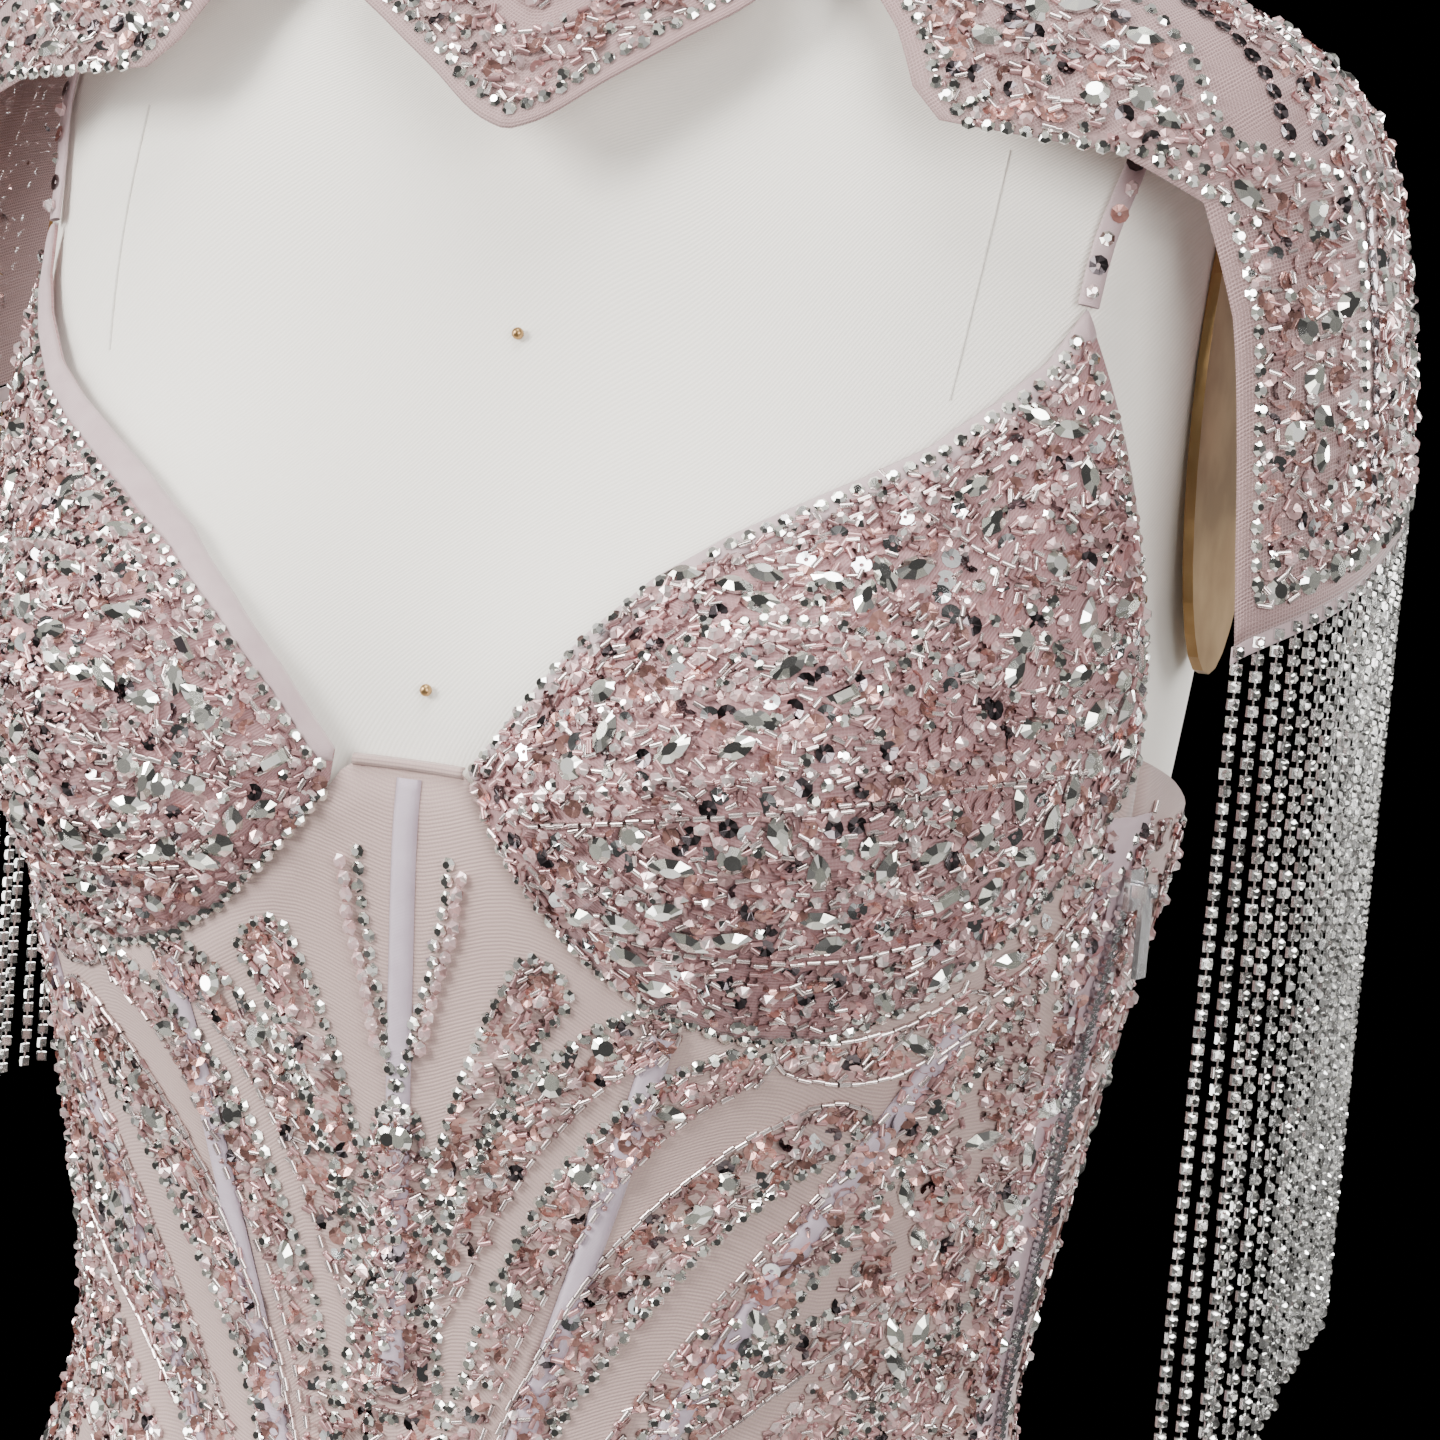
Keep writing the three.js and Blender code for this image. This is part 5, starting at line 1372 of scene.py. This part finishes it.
def add_body_beads():
    tree = body_tree()
    half = Beading("body_beads_left")
    for kinds, pitch, start, middle, end in BODY_LINES:
        photo_row(half, bent(start, middle, end), tree, kinds, pitch)
    bands = [(Band(*row[:4]), row[4:]) for row in BODY_BANDS]
    for band, borders in bands:
        for sign, kinds in zip((-1, 1), borders):
            photo_row(half, band.border(sign), tree, kinds, BORDER_PITCH[kinds[0]])
    for band, _ in bands:
        band.fill(half, tree, BAND_MIX)

    def flank(u, v):
        z = FLANK["low"] + (FLANK["high"] - FLANK["low"]) * v
        angle = np.radians(FLANK["from"] + (FLANK["to"] - FLANK["from"]) * u)
        on_tape = zip_distance(angle, z) < ZIP_WIDTH / 2
        return lifted(body_radius, angle, z, np.where(on_tape, ZIP_TAPE_LIFT[1] - 0.45, BEAD_BASE))

    def flank_keep(u, v, place):
        angle = np.arctan2(place[:, 0], -place[:, 1])
        z = place[:, 2]
        phase = np.degrees(angle) * FLANK_STRIPE["per_degree"] + z * FLANK_STRIPE["per_mm"]
        below_cup = z < cup_low(np.degrees(angle)) - 5
        return (zip_distance(angle, z) > ZIP_CLEAR) & (phase % 1.0 < FLANK_STRIPE["cover"]) & below_cup
    fill(half, flank, BAND_MIX, flank_keep)
    copied = Beading("body_beads_right")
    back_left, back_right = Beading("back_beads_left"), Beading("back_beads_right")
    for kind, rows in half.placed.items():
        place, normal, along = (np.array([entry[i] for entry in rows]) for i in range(3))
        scale = np.array([entry[3] for entry in rows])
        angle = np.arctan2(place[:, 0], -place[:, 1])
        turned = np.pi - angle
        rear = lifted(body_radius, turned, place[:, 2], BEAD_BASE + 0 * turned)
        rear_out = surface_normal(body_radius, turned, place[:, 2])
        seen = (place[:, 2] < top_edge(turned) - 4) & (angle > 0.02)
        seen &= rng.uniform(0, 1, len(rows)) < BACK_SHARE
        clear_of_zip = zip_distance(turned, place[:, 2]) > ZIP_WIDTH / 2 + 1.5
        on_tape = (zip_distance(angle, place[:, 2]) < ZIP_WIDTH / 2) * (ZIP_TAPE_LIFT[1] - CLOTH_LIFT - 0.35)
        for i in range(len(rows)):
            if angle[i] > 0.0:
                copied.put(kind, to_other_side(place[i] - on_tape[i] * normal[i]), to_other_side(normal[i]),
                           to_other_side(along[i]), scale[i], crowd=0)
            if seen[i]:
                if clear_of_zip[i]:
                    back_left.put(kind, rear[i], rear_out[i], along[i] * [1, -1, 1], scale[i], crowd=0)
                back_right.put(kind, to_other_side(rear[i]), to_other_side(rear_out[i]),
                               along[i] * [-1, -1, 1], scale[i], crowd=0)
    for beads in (half, copied, back_left, back_right):
        beads.build()


def cup_low(degrees):
    """Height of a cup's lower edge at an angle in degrees."""
    return np.interp(degrees, CUP_EDGE[:, 0], CUP_EDGE[:, 1])


# Beading of the skirt: lines that fan out downwards, a scatter that thins out, and bands on the hips
SKIRT_LINES = 32
SKIRT_TOP = 1080
SKIRT_START = HEM_HEIGHT + 12
SKIRT_WAVE = {"size": 0.05, "turns": 3.0, "shift": 1.7}
SKIRT_PITCH = 12.0
SKIRT_FADE = 260
HIP_MIX = [
    ("navette", 0.04, 0.9, 0.12), ("round", 0.05, 0.9, 0.15), ("mirror", 0.2, 0.75, 0.35),
    ("smoke", 0.2, 0.7, 0.35), ("copper", 1.5, 0.6, 0.4), ("rose", 1.3, 0.6, 0.4),
    ("stone", 0.8, 0.8, 0.12), ("crystal", 0.6, 0.7, 0.2), ("bugle", 2.6, 0.7, 0.25),
    ("tube", 3.0, 0.6, 0.3), ("seed", 1.5, 0.8, 0.1),
]
HIP_LOW = 0.72               # the bands on the hips reach down to here, as a share of the skirt's height
HIP_HIGH = 0.955             # and begin here
HIP_BAND = {"height": 52, "turn": 26, "cover": 0.62}


def hip_keep(u, v, place):
    """Bands that slant down to the centre front and centre back, and thin out downwards."""
    side = np.degrees(np.arctan2(np.abs(place[:, 0]), np.abs(place[:, 1])))
    phase = (place[:, 2] / HIP_BAND["height"] - side / HIP_BAND["turn"]) % 1.0
    column = side < 4 + 8 * v
    return ((phase < HIP_BAND["cover"]) | column) & (rng.uniform(0, 1, len(u)) < (v - HIP_LOW) / 0.2)


def add_skirt_beads():
    for quarter in range(4):
        beads = Beading(f"skirt_beads_{quarter}")

        def skirt(u, v):
            z = SKIRT_START + (SKIRT_TOP - SKIRT_START) * v
            return lifted(body_radius, np.pi * (quarter + u) / 2, z, BEAD_BASE + 0 * z)
        for i in range(SKIRT_LINES // 4):
            low = rng.uniform(0.05, 0.45) if i % 2 else rng.uniform(0.0, 0.12)
            v = np.linspace(low, 0.9, 300)
            wave = SKIRT_WAVE["size"] * np.sin(SKIRT_WAVE["turns"] * v + i * SKIRT_WAVE["shift"])
            u = (i + 0.5) / (SKIRT_LINES // 4) + wave * (1 - v)
            kinds = (["stone", "seed", "bugle", "seed"], ["crystal", "bugle", "seed", "bugle"])[i % 2]
            surface_row(beads, skirt, np.clip(u, 0.01, 0.99), v, kinds, SKIRT_PITCH)

        def keep(u, v, place):
            thin = 0.1 + 0.9 * np.clip((place[:, 2] - SKIRT_FADE) / (SKIRT_TOP - SKIRT_FADE), 0, 1) ** 2
            return rng.uniform(0, 1, len(u)) < thin
        fill(beads, skirt, SKIRT_MIX, keep, ((0, 1), (0, 0.86)))
        fill(beads, skirt, HIP_MIX, hip_keep, ((0, 1), (HIP_LOW, HIP_HIGH)))
        beads.build()


# Beading of the capelet: lines along the piece (place across, kinds, pitch) and bands of a mix between them
CAPELET_EDGE = 6.0
CAPELET_PITCH = 4.4
CAPELET_BASE = CAPELET_LIFT - 0.05
CAPELET_LINES = [
    (0.30, ["stone"], 4.6), (0.36, ["seed", "smoke"], 2.6), (0.50, ["clear", "stone"], 4.2),
    (0.56, ["bugle", "seed"], 3.0), (0.70, ["stone"], 4.6), (0.76, ["seed", "smoke"], 2.6),
    (0.86, ["crystal", "bugle"], 3.6),
]
FRONT_BAND = {"first": 26, "pitch": 17, "width": 10}                     # of the centre piece and the yoke
CAPELET_BANDS = [(0.0, 0.27), (0.39, 0.47), (0.59, 0.67), (0.79, 0.84), (0.90, 1.0)]


def edge_step(points_of, u, v, toward, distance):
    """Moves u so that it lies a distance inside the edge that it starts at."""
    reach = np.linalg.norm(points_of(u + 0.01 * toward, v) - points_of(u, v), axis=-1) / 0.01
    return u + toward * distance / np.maximum(reach, 1)


def add_capelet_beads():
    for side, sign in (("left", 1), ("right", -1)):
        beads = Beading(f"capelet_beads_{side}")

        def shoulder(u, v):
            return shoulder_points(sign, u, v, CAPELET_BASE)
        v = np.linspace(0.035, 0.985, 220)
        front = edge_step(shoulder, 0 * v, v, 1, CAPELET_EDGE)
        back = edge_step(shoulder, 1 + 0 * v, v, -1, CAPELET_EDGE)
        surface_row(beads, shoulder, front, v, ["stone"], CAPELET_PITCH, crowd=0.6)
        surface_row(beads, shoulder, back, v, ["stone"], CAPELET_PITCH, crowd=0.6)
        u = np.linspace(0.03, 0.97, 160)
        surface_row(beads, shoulder, u, np.full(160, 0.03), ["stone", "round"], 4.9, crowd=0.6)
        surface_row(beads, shoulder, u, np.full(160, 0.055), ["crystal", "stone"], 4.2, crowd=0.6)
        for share, kinds, pitch in CAPELET_LINES:
            across = share + 0.012 * np.sin(v * 9 + share * 20)
            surface_row(beads, shoulder, across, v, kinds, pitch, crowd=0.7)

        def keep(u, v, place):
            inner = (u > edge_step(shoulder, 0 * v, v, 1, CAPELET_EDGE + 1)) \
                & (u < edge_step(shoulder, 1 + 0 * v, v, -1, CAPELET_EDGE + 1)) & (v < 0.985)
            banded = sum((u > low) & (u < high) for low, high in CAPELET_BANDS) > 0
            return inner & (banded | (v < 0.16))
        fill(beads, shoulder, CAPELET_MIX, keep, ((0, 1), (0.02, 1)), 1.35)
        beads.build()
    for name, piece in (("capelet_beads_front", lobe_points), ("capelet_beads_back", yoke_points)):
        beads = Beading(name)

        def points_of(u, v, piece=piece):
            return piece(u, v, CAPELET_BASE)
        u = np.linspace(0.005, 0.995, 200)
        height = np.linalg.norm(points_of(u, 0 * u + 1) - points_of(u, 0 * u), axis=-1)
        rise = np.minimum(0.8, CAPELET_EDGE / np.maximum(height, 1))
        surface_row(beads, points_of, u, rise, ["stone"], CAPELET_PITCH, crowd=0.6)

        def keep(u, v, place):
            up = v * np.linalg.norm(points_of(u, 0 * u + 1) - points_of(u, 0 * u), axis=-1)
            banded = (up < FRONT_BAND["first"]) | (up % FRONT_BAND["pitch"] < FRONT_BAND["width"])
            return (up > CAPELET_EDGE + 1) & (v < 0.97) & banded
        fill(beads, points_of, CAPELET_MIX, keep, ((0, 1), (0, 1)), 1.2)
        beads.build()


STRAP_BEADS = ["clear", "smoke", "stone", "copper", "crystal", "smoke", "stone"]


def add_strap_beads():
    beads = Beading("strap_beads")
    for sign in (1, -1):
        angle, z = strap_line(sign)
        place = lifted(body_radius, angle, z, STRAP_LIFT + 0.7 + 0 * z)
        row(beads, place, surface_normal(body_radius, angle, z), STRAP_BEADS, 6.5, crowd=0, wander=0.5)
    beads.build()


# Floor, lights and the whole scene

FLOOR_HALF = 900


def add_stage():
    corners = [(-FLOOR_HALF, -FLOOR_HALF, 0), (FLOOR_HALF, -FLOOR_HALF, 0),
               (FLOOR_HALF, FLOOR_HALF, 0), (-FLOOR_HALF, FLOOR_HALF, 0)]
    floor = mesh_object("floor", corners, [(0, 1, 2, 3)], speckled(
        new_material("floor", (0.55, 0.54, 0.52), 0.7), 20, (0.53, 0.52, 0.50), (0.58, 0.57, 0.55), 0.0001))
    world = bpy.data.worlds.new("studio")
    bpy.context.scene.world = world
    world.use_nodes = True
    nodes, links = world.node_tree.nodes, world.node_tree.links
    nodes.clear()
    output = nodes.new("ShaderNodeOutputWorld")
    dark, soft = nodes.new("ShaderNodeBackground"), nodes.new("ShaderNodeBackground")
    dark.inputs["Color"].default_value = (0.0, 0.0, 0.0, 1)
    around = nodes.new("ShaderNodeTexCoord")
    patches = nodes.new("ShaderNodeTexNoise")
    patches.inputs["Scale"].default_value = 4.5
    patches.inputs["Detail"].default_value = 1.0
    links.new(around.outputs["Generated"], patches.inputs["Vector"])
    boxes = nodes.new("ShaderNodeMapRange")
    for key, value in (("From Min", 0.52), ("From Max", 0.60), ("To Min", 0.06), ("To Max", 1.05)):
        boxes.inputs[key].default_value = value
    links.new(patches.outputs["Fac"], boxes.inputs["Value"])
    links.new(boxes.outputs["Result"], soft.inputs["Strength"])
    soft.inputs["Color"].default_value = (1.0, 0.975, 0.94, 1)
    mix = nodes.new("ShaderNodeMixShader")
    links.new(nodes.new("ShaderNodeLightPath").outputs["Is Camera Ray"], mix.inputs["Fac"])
    links.new(soft.outputs["Background"], mix.inputs[1])
    links.new(dark.outputs["Background"], mix.inputs[2])
    links.new(mix.outputs["Shader"], output.inputs["Surface"])


# Studio lights: name, place, what it points at, width, height, power, colour (metres)
LIGHTS = [
    ("key", (-1.5, -1.7, 2.2), (0.0, 0.0, 1.2), 0.9, 1.1, 92, (1.0, 0.985, 0.96)),
    ("fill", (1.5, -1.5, 1.7), (0.0, 0.0, 1.15), 1.0, 1.2, 40, (1.0, 0.985, 0.97)),
    ("top", (0.1, -0.5, 3.0), (0.0, 0.0, 1.3), 1.0, 1.0, 34, (1.0, 1.0, 1.0)),
    ("low_left", (-1.7, -0.8, 1.15), (0.0, 0.0, 1.05), 0.5, 0.9, 16, (1.0, 0.99, 0.98)),
    ("back_left", (-1.3, 1.6, 1.9), (0.0, 0.0, 1.2), 0.7, 1.2, 46, (1.0, 1.0, 1.0)),
    ("back_right", (1.5, 1.4, 1.9), (0.0, 0.0, 1.2), 0.7, 1.2, 56, (1.0, 1.0, 1.0)),
]


def add_lights():
    for name, place, target, width, height, power, color in LIGHTS:
        data = bpy.data.lights.new(name, "AREA")
        data.shape = "RECTANGLE"
        data.size, data.size_y = width, height
        data.energy = power
        data.color = color
        light = bpy.data.objects.new(name, data)
        light.location = place
        light.rotation_euler = (Vector(target) - Vector(place)).to_track_quat("-Z", "Y").to_euler()
        light.visible_camera = False
        bpy.context.scene.collection.objects.link(light)


def main():
    torso_tree = add_form()
    add_form_details(torso_tree)
    add_gores()
    cup_trees = add_cups()
    add_channels()
    add_straps()
    add_capelet()
    add_zip()
    for side, sign in (("left", 1), ("right", -1)):
        add_fringe(side, sign)
    add_cup_beads(cup_trees)
    add_body_beads()
    add_skirt_beads()
    add_capelet_beads()
    add_strap_beads()
    add_stage()
    add_camera()
    add_lights()


main()
